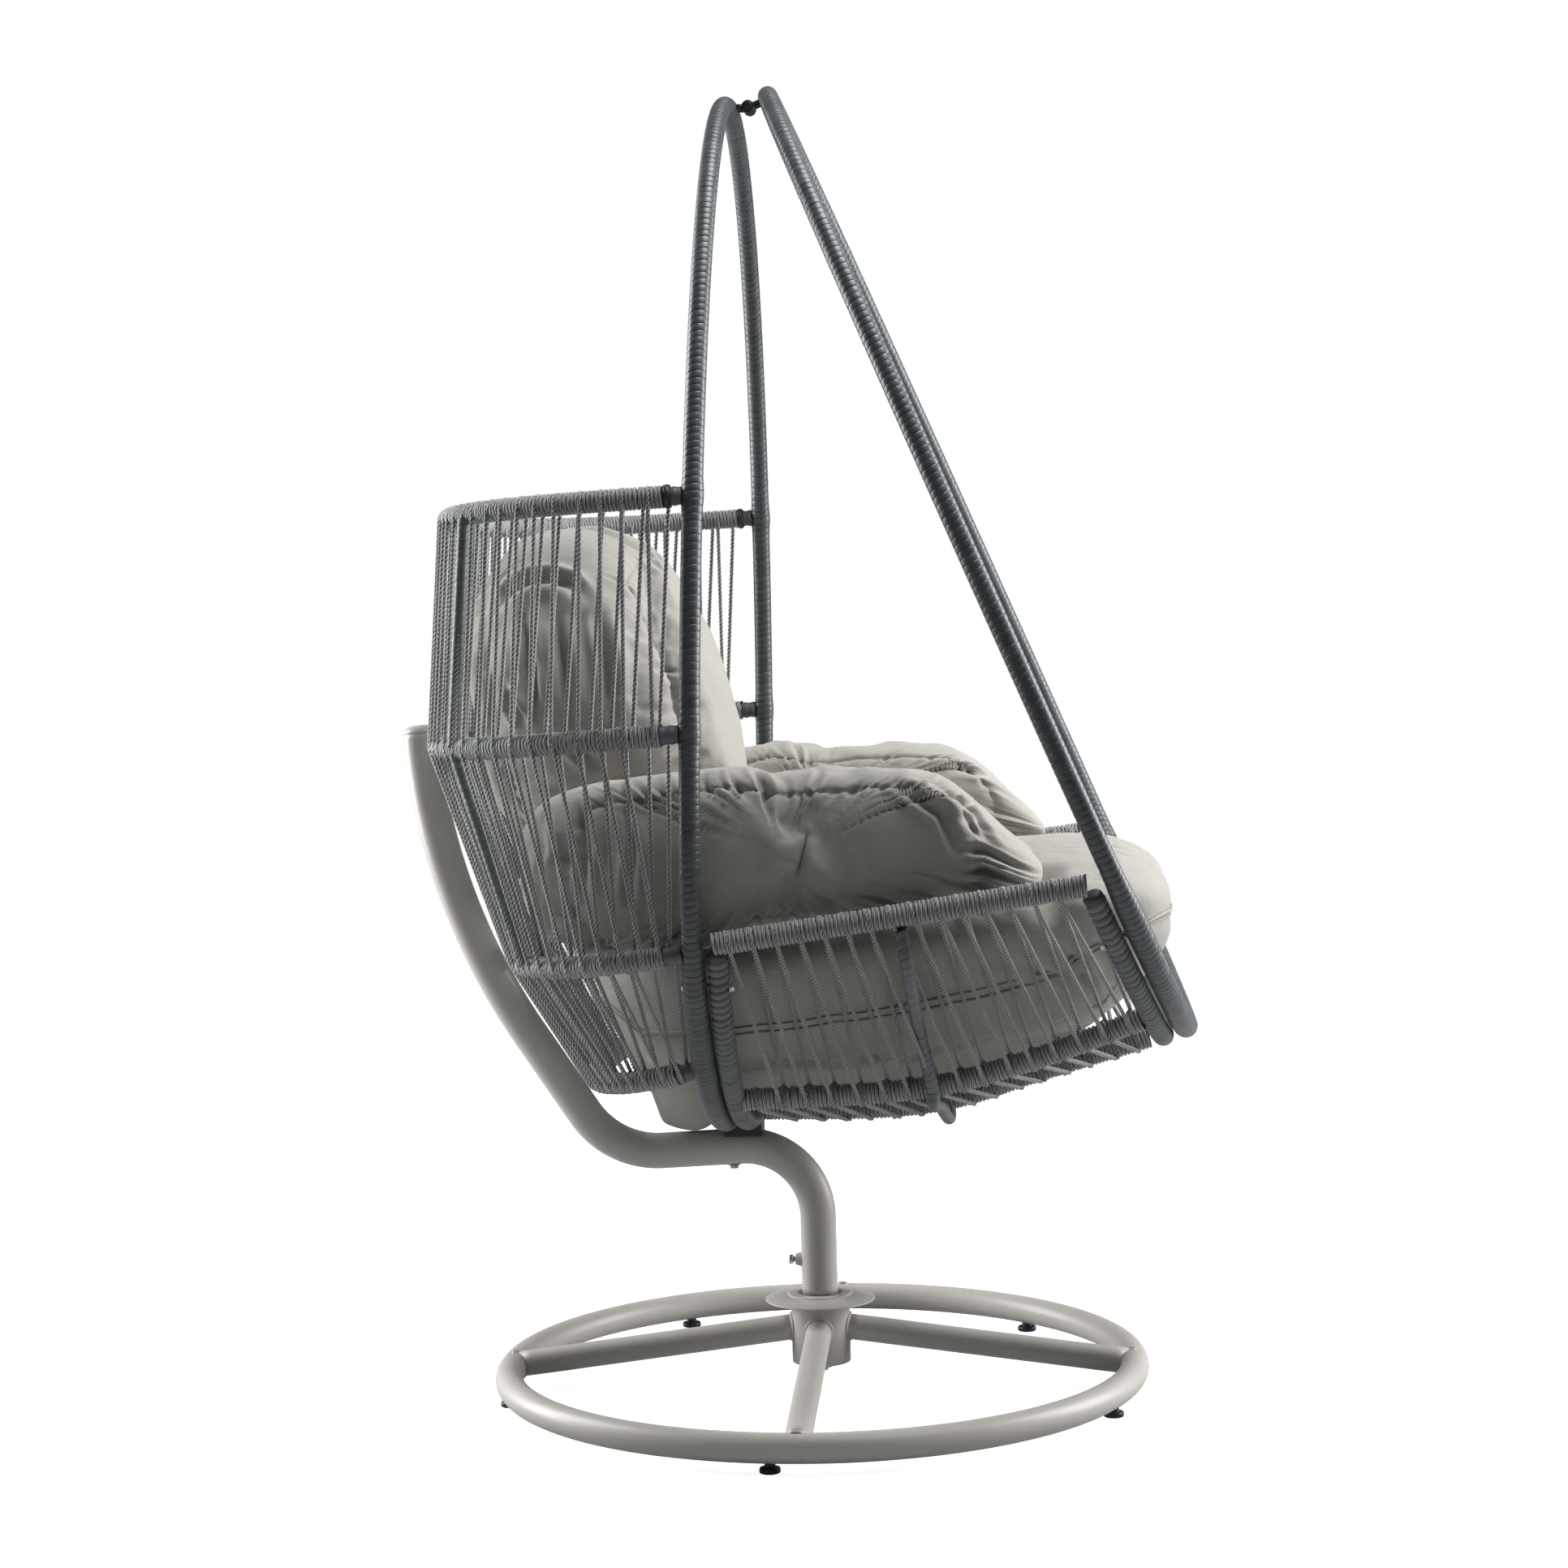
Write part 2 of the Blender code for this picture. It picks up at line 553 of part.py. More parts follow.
def make_seat(rear_hoop, front_hoop):
    top, bottom, centre = seat_lines()
    rear_points = lower_egg(False, REAR_U_OFFSET, RAIL_REAR_Z - RAIL_TUBE - 0.003, 25)
    front_points = lower_egg(True, FRONT_U_OFFSET, RAIL_FRONT_Z - RAIL_TUBE - 0.012, 25)
    rear_u = tube("seat_rear_u", rear_points, U_TUBE, "hoop_wrap", sides=4)
    front_u = tube("seat_front_u", front_points, U_TUBE, "hoop_wrap", sides=4)
    u_cutter = tube_cutter("rear_u_clearance", rear_points, U_TUBE + GAP, sides=4)

    for side, sign in (("left", -1), ("right", 1)):
        tube(f"top_rail_{side}", mirrored(top, sign), RAIL_TUBE, "cord", sides=4)
        route = smooth_route(mirrored(bottom, sign), 3)
        tube(f"bottom_rail_{side}", route, RAIL_TUBE, "cord", sides=4)
    tube("centre_rail", smooth_route(mirrored(centre, 1), 3), RAIL_TUBE, "cord", sides=4)
    make_mid_u(top, bottom, centre)
    make_seat_panels(top, bottom, centre)
    make_seat_bolts(rear_hoop, front_hoop, rear_u, front_u)
    return rear_u, u_cutter


def make_mid_u(top, bottom, centre):
    """The thin middle frame: under the top rails, round the bottom rails, under the centre rail."""
    reach = RAIL_TUBE + MID_U_TUBE + 0.002
    head = line_at(top, 0.50)
    foot = line_at(bottom, 0.46)
    base = line_at(centre, 0.46)
    half = [(head.x, head.y + 0.002, head.z - reach),
            (head.x + 0.010, head.y - 0.010, head.z - 0.080),
            (foot.x - 0.010, foot.y + 0.090, foot.z + 0.090)]
    for angle in (0, 35, 70):
        out = math.cos(math.radians(angle)) * reach
        down = math.sin(math.radians(angle)) * reach
        half.append((foot.x + 0.004, foot.y + out, foot.z - down))
    half.append((foot.x + 0.008, foot.y * 0.60, foot.z - reach - 0.020))
    half.append((base.x + 0.010, 0.0, base.z - reach))
    points = mirrored(half, 1) + mirrored(half[-2::-1], -1)
    tube("seat_mid_u", smooth_route(points, 2), MID_U_TUBE, "hoop_wrap", sides=4)


def make_seat_panels(top, bottom, centre):
    count = 8
    for side, sign in (("left", -1), ("right", 1)):
        shares = [0.05 + 0.90 * i / count for i in range(count + 1)]
        upper = []
        lower = []
        inner = []
        middle = []
        for share in shares:
            high = line_at(top, share)
            low = line_at(bottom, share)
            mid = line_at(centre, share)
            upper.append((high.x, high.y - 0.0150, high.z - 0.0170))
            lower.append((low.x, low.y - 0.0030, low.z + 0.0225))
            inner.append((low.x, low.y - 0.0240, low.z + 0.0040))
            middle.append((mid.x, mid.y + 0.0240, mid.z + 0.0060))
        strung_panel(f"side_cords_{side}", mirrored(upper, sign), mirrored(lower, sign))
        strung_panel(f"bottom_cords_{side}", mirrored(inner, sign), mirrored(middle, sign))


def make_seat_bolts(rear_hoop, front_hoop, rear_u, front_u):
    """Four bolts through the seat's end frames into the hoops."""
    for label, front, z, hoop, frame, offset in (("rear", False, 0.681, rear_hoop, rear_u, REAR_U_OFFSET),
                                                 ("front", True, 0.745, front_hoop, front_u, FRONT_U_OFFSET)):
        f, w = egg_at(front, z)
        towards_seat = hoop_normal(front) * math.copysign(1, offset)
        for side, sign in (("left", -1), ("right", 1)):
            seat = place(f, w * sign, z)
            head = seat + towards_seat * (abs(offset) + U_TUBE + 0.0062)
            tip = seat + towards_seat * 0.001
            hole = cylinder_cutter(f"{label}_hole_{side}", BOLT_RADIUS + GAP, seat - towards_seat * 0.0005,
                                   head + towards_seat * 0.01, 12)
            boolean(hoop, hole)
            boolean(frame, hole)
            bolt(f"seat_bolt_{label}_{side}", head, tip, 0.0072, 0.0055, "steel")


# ---- cushions ----------------------------------------------------------------
def soft_form(name, shape, power):
    """A rounded closed form: a sphere squared up by a power, then moved by shape(u, v, w)."""
    work = bmesh.new()
    bmesh.ops.create_uvsphere(work, u_segments=24, v_segments=14, radius=1)
    for vert in work.verts:
        x, y, z = vert.co
        size = (abs(x) ** power + abs(y) ** power + abs(z) ** power) ** (1 / power)
        u, v, w = x / size, y / size, z / size
        vert.co = shape(u, v, w)
    work.normal_update()
    bmesh.ops.recalc_face_normals(work, faces=work.faces)
    mesh = bpy.data.meshes.new(name)
    work.to_mesh(mesh)
    work.free()
    return new_object(name, mesh, "cushion")


def cradle_half_width(f, z):
    """Inner half width between the two hoops at a place, from the egg's outline."""
    rear_f, rear_w = egg_at(False, z)
    front_f, front_w = egg_at(True, z)
    share = min(1.0, max(0.0, (f - rear_f) / (front_f - rear_f)))
    return rear_w + (front_w - rear_w) * share


def seat_cushion_shape(u, v, w):
    """u back to front, v right, w up, each -1 to 1: fills the cradle and rolls over its front."""
    f = 0.115 + 0.445 * u
    t = (u + 1) / 2
    floor = keel_height(f) + 0.030 + 0.075 * abs(v) ** 1.5 + 0.10 * max(0.0, t - 0.86)
    floor += 0.068 * min(1.0, max(0.0, (-0.235 - f) / 0.055))
    crown = 0.735 + 0.115 * t
    beside = 0.722 + 0.070 * (f + 0.391) / 0.77
    step = min(1.0, max(0.0, (abs(v) - 0.60) / 0.10)) * min(1.0, max(0.0, (0.42 - f) / 0.03))
    top = crown + (beside - crown) * step
    z = floor + (top - floor) * (w + 1) / 2
    basket = 1 - 0.30 * max(0.0, -0.45 - u) ** 2 / 0.3
    width = (cradle_half_width(f, max(z, 0.47)) - 0.042) * basket
    sag = max(0.0, 1 - ((u + 0.76) / 0.20) ** 4) * max(0.0, -w) * max(0.0, 1 - (v / 0.50) ** 2)
    return place(f - 0.035 * max(0.0, w) ** 2 * t, v * width, z - 0.070 * sag)


def arm_cushion_shape(sign):
    """u back to front, v outwards, w up: a bolster that turns in behind the hoop."""
    def shape(u, v, w):
        f = -0.006 + 0.385 * u - 0.020 * min(0.0, u) ** 2
        t = (u + 1) / 2
        turn_in = 0.085 * max(0.0, 0.45 - t) ** 2 / 0.2
        ahead = f - 0.24
        bottom = 0.730 + 0.070 * t + 0.020 * max(0.0, 0.3 - t)
        top = 0.985 - 0.45 * (ahead + math.sqrt(ahead ** 2 + 0.0009))
        thick = 0.096 - 0.070 * max(0.0, 0.32 - t)
        return place(f, sign * (0.412 - turn_in + thick * v), bottom + (top - bottom) * (w + 1) / 2)
    return shape


def back_cushion_shape(u, v, w):
    """u thickness, v right, w up: leans back and thins to a rounded top."""
    t = (w + 1) / 2
    taper = 1 - 0.20 * max(0.0, t - 0.45) ** 2 / 0.3
    width = 0.255 + 0.033 * min(1.0, max(0.0, (t - 0.30) / 0.20))
    depth = 0.170 + 0.060 * t - 0.105 * t ** 2
    return place(-0.264 - 0.098 * t ** 1.3 + depth * u, width * v * taper, 1.060 + 0.284 * w)


def make_cushions():
    soft_form("seat_cushion", seat_cushion_shape, 4.2)
    soft_form("arm_cushion_left", arm_cushion_shape(-1), 2.9)
    soft_form("arm_cushion_right", arm_cushion_shape(1), 2.9)
    soft_form("back_cushion", back_cushion_shape, 3.0)


# ---- moving groups -----------------------------------------------------------
def group(name, axis_point, pieces):
    """Parent pieces to an empty that stands on their joint's axis."""
    pivot = bpy.data.objects.new(name, None)
    pivot.location = axis_point
    PARTS.objects.link(pivot)
    for piece in pieces:
        piece.parent = pivot
        piece.matrix_parent_inverse = Matrix.Translation(-axis_point)
    return pivot


def make_groups():
    fixed = ("base_ring", "spoke_", "foot_", "hub_", "lower_bearing", "upper_bearing", "cover_disc")
    front = ("front_hoop", "front_hinge_barrel")
    meshes = [obj for obj in PARTS.objects if obj.type == "MESH"]
    chair = [obj for obj in meshes if not obj.name.startswith(fixed) and obj.name not in front]
    turning = group("chair_pivot", place(0, 0, HUB_Z[1]), chair)
    folding = group("front_pivot", place(HINGE[0], 0, HINGE[1]), [PARTS.objects[name] for name in front])
    folding.parent = turning
    folding.matrix_parent_inverse = Matrix.Translation(-turning.location)


def build():
    make_base()
    make_hub()
    make_spindle()
    post, post_cutter = make_post()
    rear_hoop, rear_cutter, front_hoop, front_cutter = make_hoops()
    make_hinge(rear_cutter, front_cutter)
    basket = make_basket()
    rear_u, u_cutter = make_seat(rear_hoop, front_hoop)
    make_mounts(post, post_cutter, basket["middle_ring"], basket["cutter"], rear_hoop, rear_cutter,
                rear_u, u_cutter)
    make_cushions()
    make_groups()


PARTS, CUTTERS = clear_scene()
build()
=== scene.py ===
"""Looks of the swivelling egg chair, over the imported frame: band-wrapped hoops, cord-wrapped
rails, strung twisted cords, stuffed cushions, a bent post and a ring base.

Metres, +Z up; the chair faces -Y. Places are often given as (f, w, z): in front of the
swivel axis, towards the sitter's right, above the floor.
"""
import math

import bpy
import numpy as np
from mathutils import Matrix, Vector, noise


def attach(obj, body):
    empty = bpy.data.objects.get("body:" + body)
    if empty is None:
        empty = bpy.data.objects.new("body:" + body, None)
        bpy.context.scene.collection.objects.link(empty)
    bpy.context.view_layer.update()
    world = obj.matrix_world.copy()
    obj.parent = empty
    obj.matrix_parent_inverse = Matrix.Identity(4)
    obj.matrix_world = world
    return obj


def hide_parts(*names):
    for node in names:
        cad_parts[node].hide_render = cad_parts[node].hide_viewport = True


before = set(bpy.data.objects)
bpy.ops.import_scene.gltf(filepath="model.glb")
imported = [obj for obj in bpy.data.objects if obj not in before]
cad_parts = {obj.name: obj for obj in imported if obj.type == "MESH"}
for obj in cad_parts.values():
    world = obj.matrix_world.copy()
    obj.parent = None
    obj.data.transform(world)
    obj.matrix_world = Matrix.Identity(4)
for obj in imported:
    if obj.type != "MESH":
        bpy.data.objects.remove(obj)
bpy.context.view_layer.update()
RNG = np.random.default_rng(11)
PI = math.pi

# ---- dimensions shared with the CAD model ---------------------------------------
AXIS_Y = -0.021
HOOP_WIDTH, HOOP_UPPER, HOOP_LOWER = 0.55, 1.074, 0.454
REAR_LEAN, REAR_WIDEST = math.radians(1.28), (-0.117, 0.878)
FRONT_LEAN, FRONT_TOP = math.radians(-22.9), (-0.030, 1.964)
REAR_U_OFFSET, FRONT_U_OFFSET = 0.034, -0.036
RAIL_REAR_Z, RAIL_FRONT_Z = 0.742, 0.812
RING_RADIUS, RING_TUBE, RING_Z = 0.479, 0.0215, 0.034
HUB_OUTER, SPOKE_TUBE, SPOKE_HUB_Z = 0.045, 0.0195, 0.094
POST_TUBE = 0.0275
RIB_PROUD = 0.011
HINGE = (-0.0615, 1.9515)
BACK_RINGS = {
    "rim_ring": (1.352, 1.338, -0.518, 2.5),
    "middle_ring": (1.029, 1.005, -0.540, 2.5),
    "lower_ring": (0.727, 0.690, -0.427, 2.5),
    "bottom_ring": (0.547, 0.505, -0.325, 2.3),
}
POST_CORNERS = ((-0.594, 1.020), (-0.575, 0.760), (-0.315, 0.365), (0.0, 0.380), (0.0, 0.1475))
POST_BENDS = (0.95, 0.135, 0.11)
KEEL_Z, KEEL_FLAT, KEEL_CURVE, KEEL_STRAIGHT, KEEL_SLOPE = 0.430, 0.08, 0.78, 0.45, 0.55
SET_BOLT_Z = 0.198
SEAT_BOLT_REAR_Z, SEAT_BOLT_FRONT_Z = 0.681, 0.745
PAD_COUNT, PAD_FIRST = 5, -4.5

# ---- sizes of the wrapping, outside the CAD model's tubes -------------------------
LINE_STEP = 0.006
BAND_PITCH, SOFT_PITCH, RIB_PITCH, CORD_PITCH = 0.0102, 0.0120, 0.0110, 0.0058
HOOP_OUTER, FRAME_OUTER, MID_FRAME_OUTER, RIB_OUTER = 0.0143, 0.0148, 0.0092, 0.0084
RING_OUTER, RAIL_OUTER, TAPE_OUTER, TAPE_LENGTH = 0.0158, 0.0162, 0.0128, 0.026
RIB_ANGLE = math.radians(41)
CLOTH_FRAMES = 24


def place(f, w, z):
    return np.array((-w, AXIS_Y - f, z), float)


# ---- lines ------------------------------------------------------------------------
def unit(v):
    return v / np.maximum(np.linalg.norm(v, axis=-1, keepdims=True), 1e-12)


def clamp(value):
    """The nearest value from 0 to 1."""
    return min(1.0, max(0.0, value))


def lengths_along(points):
    steps = np.linalg.norm(np.diff(points, axis=0), axis=1)
    return np.concatenate(([0.0], np.cumsum(steps)))


def sample(points, at):
    """Places on a line at distances along it, or any other values kept per point."""
    known = lengths_along(points)
    return np.stack([np.interp(at, known, points[:, i]) for i in range(points.shape[1])], -1)


def even(points, step):
    """The same line with points about a step apart."""
    total = lengths_along(points)[-1]
    return sample(points, np.linspace(0, total, max(2, int(round(total / step)) + 1)))


def smooth_route(points, steps=8):
    """Points along a Catmull-Rom curve through the given ones."""
    known = np.concatenate(([2 * points[0] - points[1]], points, [2 * points[-1] - points[-2]]))
    route = []
    for a, b, c, d in zip(known, known[1:], known[2:], known[3:]):
        t = (np.arange(steps) / steps)[:, None]
        route.append(0.5 * (2 * b + (c - a) * t + (2 * a - 5 * b + 4 * c - d) * t ** 2
                            + (3 * b - a - 3 * c + d) * t ** 3))
    return np.concatenate(route + [points[-1:]])


def bent_route(corners, radii, steps):
    """Straight runs between corners, each corner rounded by an arc of its radius."""
    route = [corners[0]]
    for before, corner, after, radius in zip(corners, corners[1:], corners[2:], radii):
        into, out = unit(corner - before), unit(after - corner)
        turn = math.acos(into.dot(out))
        inside = unit(out - into * out.dot(into))
        start = corner - into * radius * math.tan(turn / 2)
        for angle in turn * np.arange(steps + 1) / steps:
            route.append(start + inside * radius * (1 - math.cos(angle)) + into * radius * math.sin(angle))
    return np.array(route + [corners[-1]])


def frames(points, closed=False, start=None):
    """Tangent and two normals that turn as little as possible along a line."""
    if closed:
        tangent = unit(np.roll(points, -1, 0) - np.roll(points, 1, 0))
    else:
        tangent = unit(np.gradient(points, axis=0))
    normal = np.empty_like(points)
    n = np.array(start if start is not None else (0.31, 0.17, 0.93), float)
    for i, t in enumerate(tangent):
        n = n - t * n.dot(t)
        n = n / np.linalg.norm(n)
        normal[i] = n
    return tangent, normal, np.cross(tangent, normal)


def hoop_plane(front):
    if front:
        return (FRONT_TOP[0] - HOOP_UPPER * math.sin(FRONT_LEAN),
                FRONT_TOP[1] - HOOP_UPPER * math.cos(FRONT_LEAN), FRONT_LEAN)
    return REAR_WIDEST[0], REAR_WIDEST[1], REAR_LEAN


def egg_point(front, angle, offset=0.0):
    f, z, lean = hoop_plane(front)
    height = math.sin(angle) * (HOOP_UPPER if math.sin(angle) > 0 else HOOP_LOWER)
    return place(f + height * math.sin(lean) + offset * math.cos(lean), HOOP_WIDTH * math.cos(angle),
                 z + height * math.cos(lean) - offset * math.sin(lean))


def egg_at(front, z, offset=0.0):
    f0, z0, lean = hoop_plane(front)
    height = (z - z0 + offset * math.sin(lean)) / math.cos(lean)
    reach = HOOP_UPPER if height > 0 else HOOP_LOWER
    width = HOOP_WIDTH * math.sqrt(max(0.0, 1 - (height / reach) ** 2))
    return f0 + height * math.sin(lean) + offset * math.cos(lean), width


def hoop_line(front):
    """The closed egg, starting at its top."""
    return np.array([egg_point(front, PI / 2 + 2 * PI * i / 720) for i in range(721)])


def lower_egg(front, offset, top_z):
    _, z0, lean = hoop_plane(front)
    drop = (z0 - offset * math.sin(lean) - top_z) / math.cos(lean) / HOOP_LOWER
    start = math.asin(drop)
    return np.array([egg_point(front, -(start + (PI - 2 * start) * i / 200), offset) for i in range(201)])


def ring_line(name, short=0.0148):
    """A back ring's middle line, left end first, at even steps."""
    z_hoop, z_rear, f_rear, power = BACK_RINGS[name]
    f_hoop, w_hoop = egg_at(False, z_hoop)
    f_start = f_hoop - short
    points = []
    for i in range(801):
        angle = -PI / 2 + PI * i / 800
        side = math.copysign(abs(math.sin(angle)) ** (2 / power), math.sin(angle))
        back = max(0.0, math.cos(angle)) ** (2 / power)
        points.append(place(f_start + (f_rear - f_start) * back, w_hoop * side,
                            z_hoop + (z_rear - z_hoop) * back))
    return even(np.array(points), LINE_STEP)


def keel_height(f):
    """Height of the seat's centre rail at a place: level, then curving up, then straight."""
    curved = max(0.0, min(f, KEEL_STRAIGHT) - KEEL_FLAT)
    return KEEL_Z + KEEL_CURVE * curved ** 2 + KEEL_SLOPE * max(0.0, f - KEEL_STRAIGHT)


def seat_lines():
    """Middle lines of the seat's rails on the sitter's right, rear end first, as (f, w, z)."""
    top_f0, top_w0 = egg_at(False, RAIL_REAR_Z, REAR_U_OFFSET)
    top_f1, top_w1 = egg_at(True, RAIL_FRONT_Z, FRONT_U_OFFSET)
    top = [(top_f0 - 0.010, top_w0, RAIL_REAR_Z - 0.002), (top_f1 + 0.004, top_w1, RAIL_FRONT_Z)]
    low_f0, low_w0 = egg_at(False, 0.490, REAR_U_OFFSET)
    low_f1, low_w1 = egg_at(True, 0.600, FRONT_U_OFFSET)
    bottom = [(low_f0 + 0.006, low_w0, 0.490), (0.16, 0.272, 0.500), (0.32, 0.262, 0.535),
              (low_f1 - 0.010, low_w1, 0.600)]
    mid_f0 = egg_at(False, 0.4245, REAR_U_OFFSET)[0]
    mid_f1 = egg_at(True, 0.5600, FRONT_U_OFFSET)[0]
    centre = [(mid_f0 + 0.006, 0, KEEL_Z), (mid_f1 - 0.008, 0, 0.5350)]
    centre[1:1] = [(f, 0, keel_height(f)) for f in (0.10, 0.22, 0.34)]
    return top, bottom, centre


def mirrored(points, sign):
    return np.array([place(f, w * sign, z) for f, w, z in points])


# ---- meshes -----------------------------------------------------------------------
class Piece:
    """Collects strips of quads, each corner with its lay: along, across, which turn."""

    def __init__(self):
        self.verts, self.quads, self.lays, self.count = [], [], [], 0

    def add(self, verts, quads, lay=None):
        self.verts.append(verts)
        self.quads.append(quads + self.count)
        self.lays.append(np.zeros((len(quads), 4, 3)) if lay is None else lay)
        self.count += len(verts)
        return self

    def make(self, name, material, body, slot, *nodes):
        verts = np.concatenate(self.verts).astype(np.float32)
        quads = np.concatenate(self.quads).astype(np.int32)
        mesh = bpy.data.meshes.new(name)
        mesh.vertices.add(len(verts))
        mesh.vertices.foreach_set("co", verts.ravel())
        mesh.loops.add(quads.size)
        mesh.loops.foreach_set("vertex_index", quads.ravel())
        mesh.polygons.add(len(quads))
        mesh.polygons.foreach_set("loop_start", np.arange(0, quads.size, 4, dtype=np.int32))
        mesh.update(calc_edges=True)
        lay = mesh.attributes.new("lay", "FLOAT_VECTOR", "CORNER")
        lay.data.foreach_set("vector", np.concatenate(self.lays).astype(np.float32).ravel())
        mesh.shade_smooth()
        mesh.materials.append(material)
        obj = bpy.data.objects.new(name, mesh)
        bpy.context.scene.collection.objects.link(obj)
        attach(obj, body)
        if nodes:
            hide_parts(*nodes)
        return obj


def grid_quads(rows, sides, closed=False):
    """Quads of a tube of rings, wrapping round it."""
    i = np.arange(rows if closed else rows - 1)[:, None]
    k = np.arange(sides)[None, :]
    j = (i + 1) % rows
    n = (k + 1) % sides
    return np.stack([i * sides + k, i * sides + n, j * sides + n, j * sides + k], -1).reshape(-1, 4)


def swept(points, radius, sides=24, closed=False, start=None, shape=None, twist=None, capped=True):
    """A tube round a line. radius is one number or one per point; shape scales it round the tube."""
    _, normal, side = frames(points, closed, start)
    rows = len(points)
    radius = np.broadcast_to(np.asarray(radius, float), (rows,)).copy()
    if capped and not closed:
        points = np.concatenate((points[:1], points, points[-1:]))
        normal = np.concatenate((normal[:1], normal, normal[-1:]))
        side = np.concatenate((side[:1], side, side[-1:]))
        radius = np.concatenate(([radius[0] * 0.02], radius, [radius[-1] * 0.02]))
        if twist is not None:
            twist = np.concatenate((twist[:1], twist, twist[-1:]))
        rows += 2
    turn = 2 * PI * np.arange(sides) / sides
    angle = turn[None, :] + (0 if twist is None else twist[:, None])
    reach = radius[:, None] * (1 if shape is None else shape[None, :])
    verts = (points[:, None] + (reach * np.cos(angle))[..., None] * normal[:, None]
             + (reach * np.sin(angle))[..., None] * side[:, None]).reshape(-1, 3)
    quads = grid_quads(rows, sides, closed)
    along = lengths_along(points)
    count = rows if closed else rows - 1
    i = np.repeat(np.arange(count), sides)
    k = np.tile(np.arange(sides), count)
    j = (i + 1) % rows
    step = along[j] - along[i]
    if closed:
        step[j == 0] = np.linalg.norm(points[0] - points[-1])
    a, b = along[i], along[i] + step
    y0, y1 = k / sides, (k + 1) / sides
    zero = np.zeros(len(i))
    lay = np.stack([np.stack([a, y0, zero], -1), np.stack([a, y1, zero], -1),
                    np.stack([b, y1, zero], -1), np.stack([b, y0, zero], -1)], 1)
    return verts, quads, lay


ROPE_SHAPE = np.array([0.62, 1.0, 1.0] * 3)


def rope(points, radius=0.0033, pitch=0.020, seed=0.0):
    """A three-strand twisted cord."""
    points = even(points, pitch / 6)
    twist = 2 * PI * lengths_along(points) / pitch + seed
    verts, quads, lay = swept(points, radius, 9, False, None, ROPE_SHAPE, twist)
    lay[..., 2] = seed % 1
    return verts, quads, lay


def wrapped(points, radius, pitch, profile, sides, closed=False, start=None, jitter=0.0, skew=0.0):
    """Turns laid side by side round a line. profile is (share of the turn's width, height);
    radius is a function of the places along the line."""
    total = lengths_along(points)[-1]
    line = points[:-1] if closed else points
    _, normal, side = frames(line, closed, start)
    if closed:
        normal = np.concatenate((normal, normal[:1]))
        side = np.concatenate((side, side[:1]))
    known = lengths_along(points)
    turns = max(2, int(round(total / pitch)))
    pitch = total / turns
    n = len(profile)
    rows = turns * n
    where = np.array([p[0] for p in profile])
    high = np.array([p[1] for p in profile])
    i = np.arange(rows)[:, None]
    k = np.arange(sides)[None, :]
    turn = i // n + k / sides
    wobble = RNG.normal(0, 1, turns + 2)
    wobble[-1] = wobble[0]
    uneven = np.interp(turn, np.arange(turns + 2), wobble)
    at = (turn + where[i % n] + 0.35 * jitter * uneven) * pitch
    at = np.mod(at, total) if closed else np.clip(at, 0, total)

    def look(values):
        return np.stack([np.interp(at, known, values[:, c]) for c in range(3)], -1)

    centre, out, over = look(points), unit(look(normal)), unit(look(side))
    angle = 2 * PI * k / sides + np.zeros_like(at)
    reach = radius(centre, at) + high[i % n] * (1 + jitter * uneven) + 0.0003 * jitter * uneven
    if skew:
        reach = reach + skew * np.cos(angle + 2.1 * np.sin(at * 3.0))
    verts = (centre + (reach * np.cos(angle))[..., None] * out
             + (reach * np.sin(angle))[..., None] * over).reshape(-1, 3)
    count = rows if closed else rows - n - 1
    i = np.repeat(np.arange(count), sides)
    k = np.tile(np.arange(sides), count)
    j = i + 1
    last = k == sides - 1
    ahead = np.where(last, n, 0)
    corner = np.stack([(i % rows) * sides + k, ((i + ahead) % rows) * sides + (k + 1) % sides,
                       ((j + ahead) % rows) * sides + (k + 1) % sides, (j % rows) * sides + k], -1)
    around = 2 * PI * float(np.mean(reach))
    whole = i // n
    y0 = where[i % n]
    y1 = np.where(j % n == 0, 1.0, where[j % n])
    shade = np.mod(wobble[whole % turns] * 0.37 + 0.5, 1)
    x0, x1 = (whole + k / sides) * around, (whole + (k + 1) / sides) * around
    lay = np.stack([np.stack([x0, y0, shade], -1), np.stack([x1, y0, shade], -1),
                    np.stack([x1, y1, shade], -1), np.stack([x0, y1, shade], -1)], 1)
    return verts, corner, lay


BAND = ((0.0, -0.0006), (0.035, -0.0001), (0.11, 0.0001), (0.50, 0.0002), (0.89, 0.0001), (0.965, -0.0001))
SOFT_BAND = ((0.0, -0.0020), (0.10, -0.0006), (0.32, 0.0005), (0.62, 0.0006), (0.86, -0.0005),
             (0.95, -0.0018))
CORD = ((0.0, -0.0027), (0.17, -0.0006), (0.40, 0.0), (0.60, 0.0), (0.83, -0.0006))


def lathe(profile, segments=96, matrix=None, shape=None):
    """A solid turned about Z through (radius, height) points, moved by a matrix."""
    profile = np.array(profile, float)
    angle = 2 * PI * np.arange(segments) / segments
    reach = profile[:, :1] * (np.ones(segments) if shape is None else shape(angle, profile[:, :1]))
    verts = np.stack([reach * np.cos(angle), reach * np.sin(angle),
                      np.repeat(profile[:, 1:], segments, 1)], -1).reshape(-1, 3)
    if matrix is not None:
        m = np.array(matrix)
        verts = verts @ m[:3, :3].T + m[:3, 3]
    return verts, grid_quads(len(profile), segments)[:, ::-1]


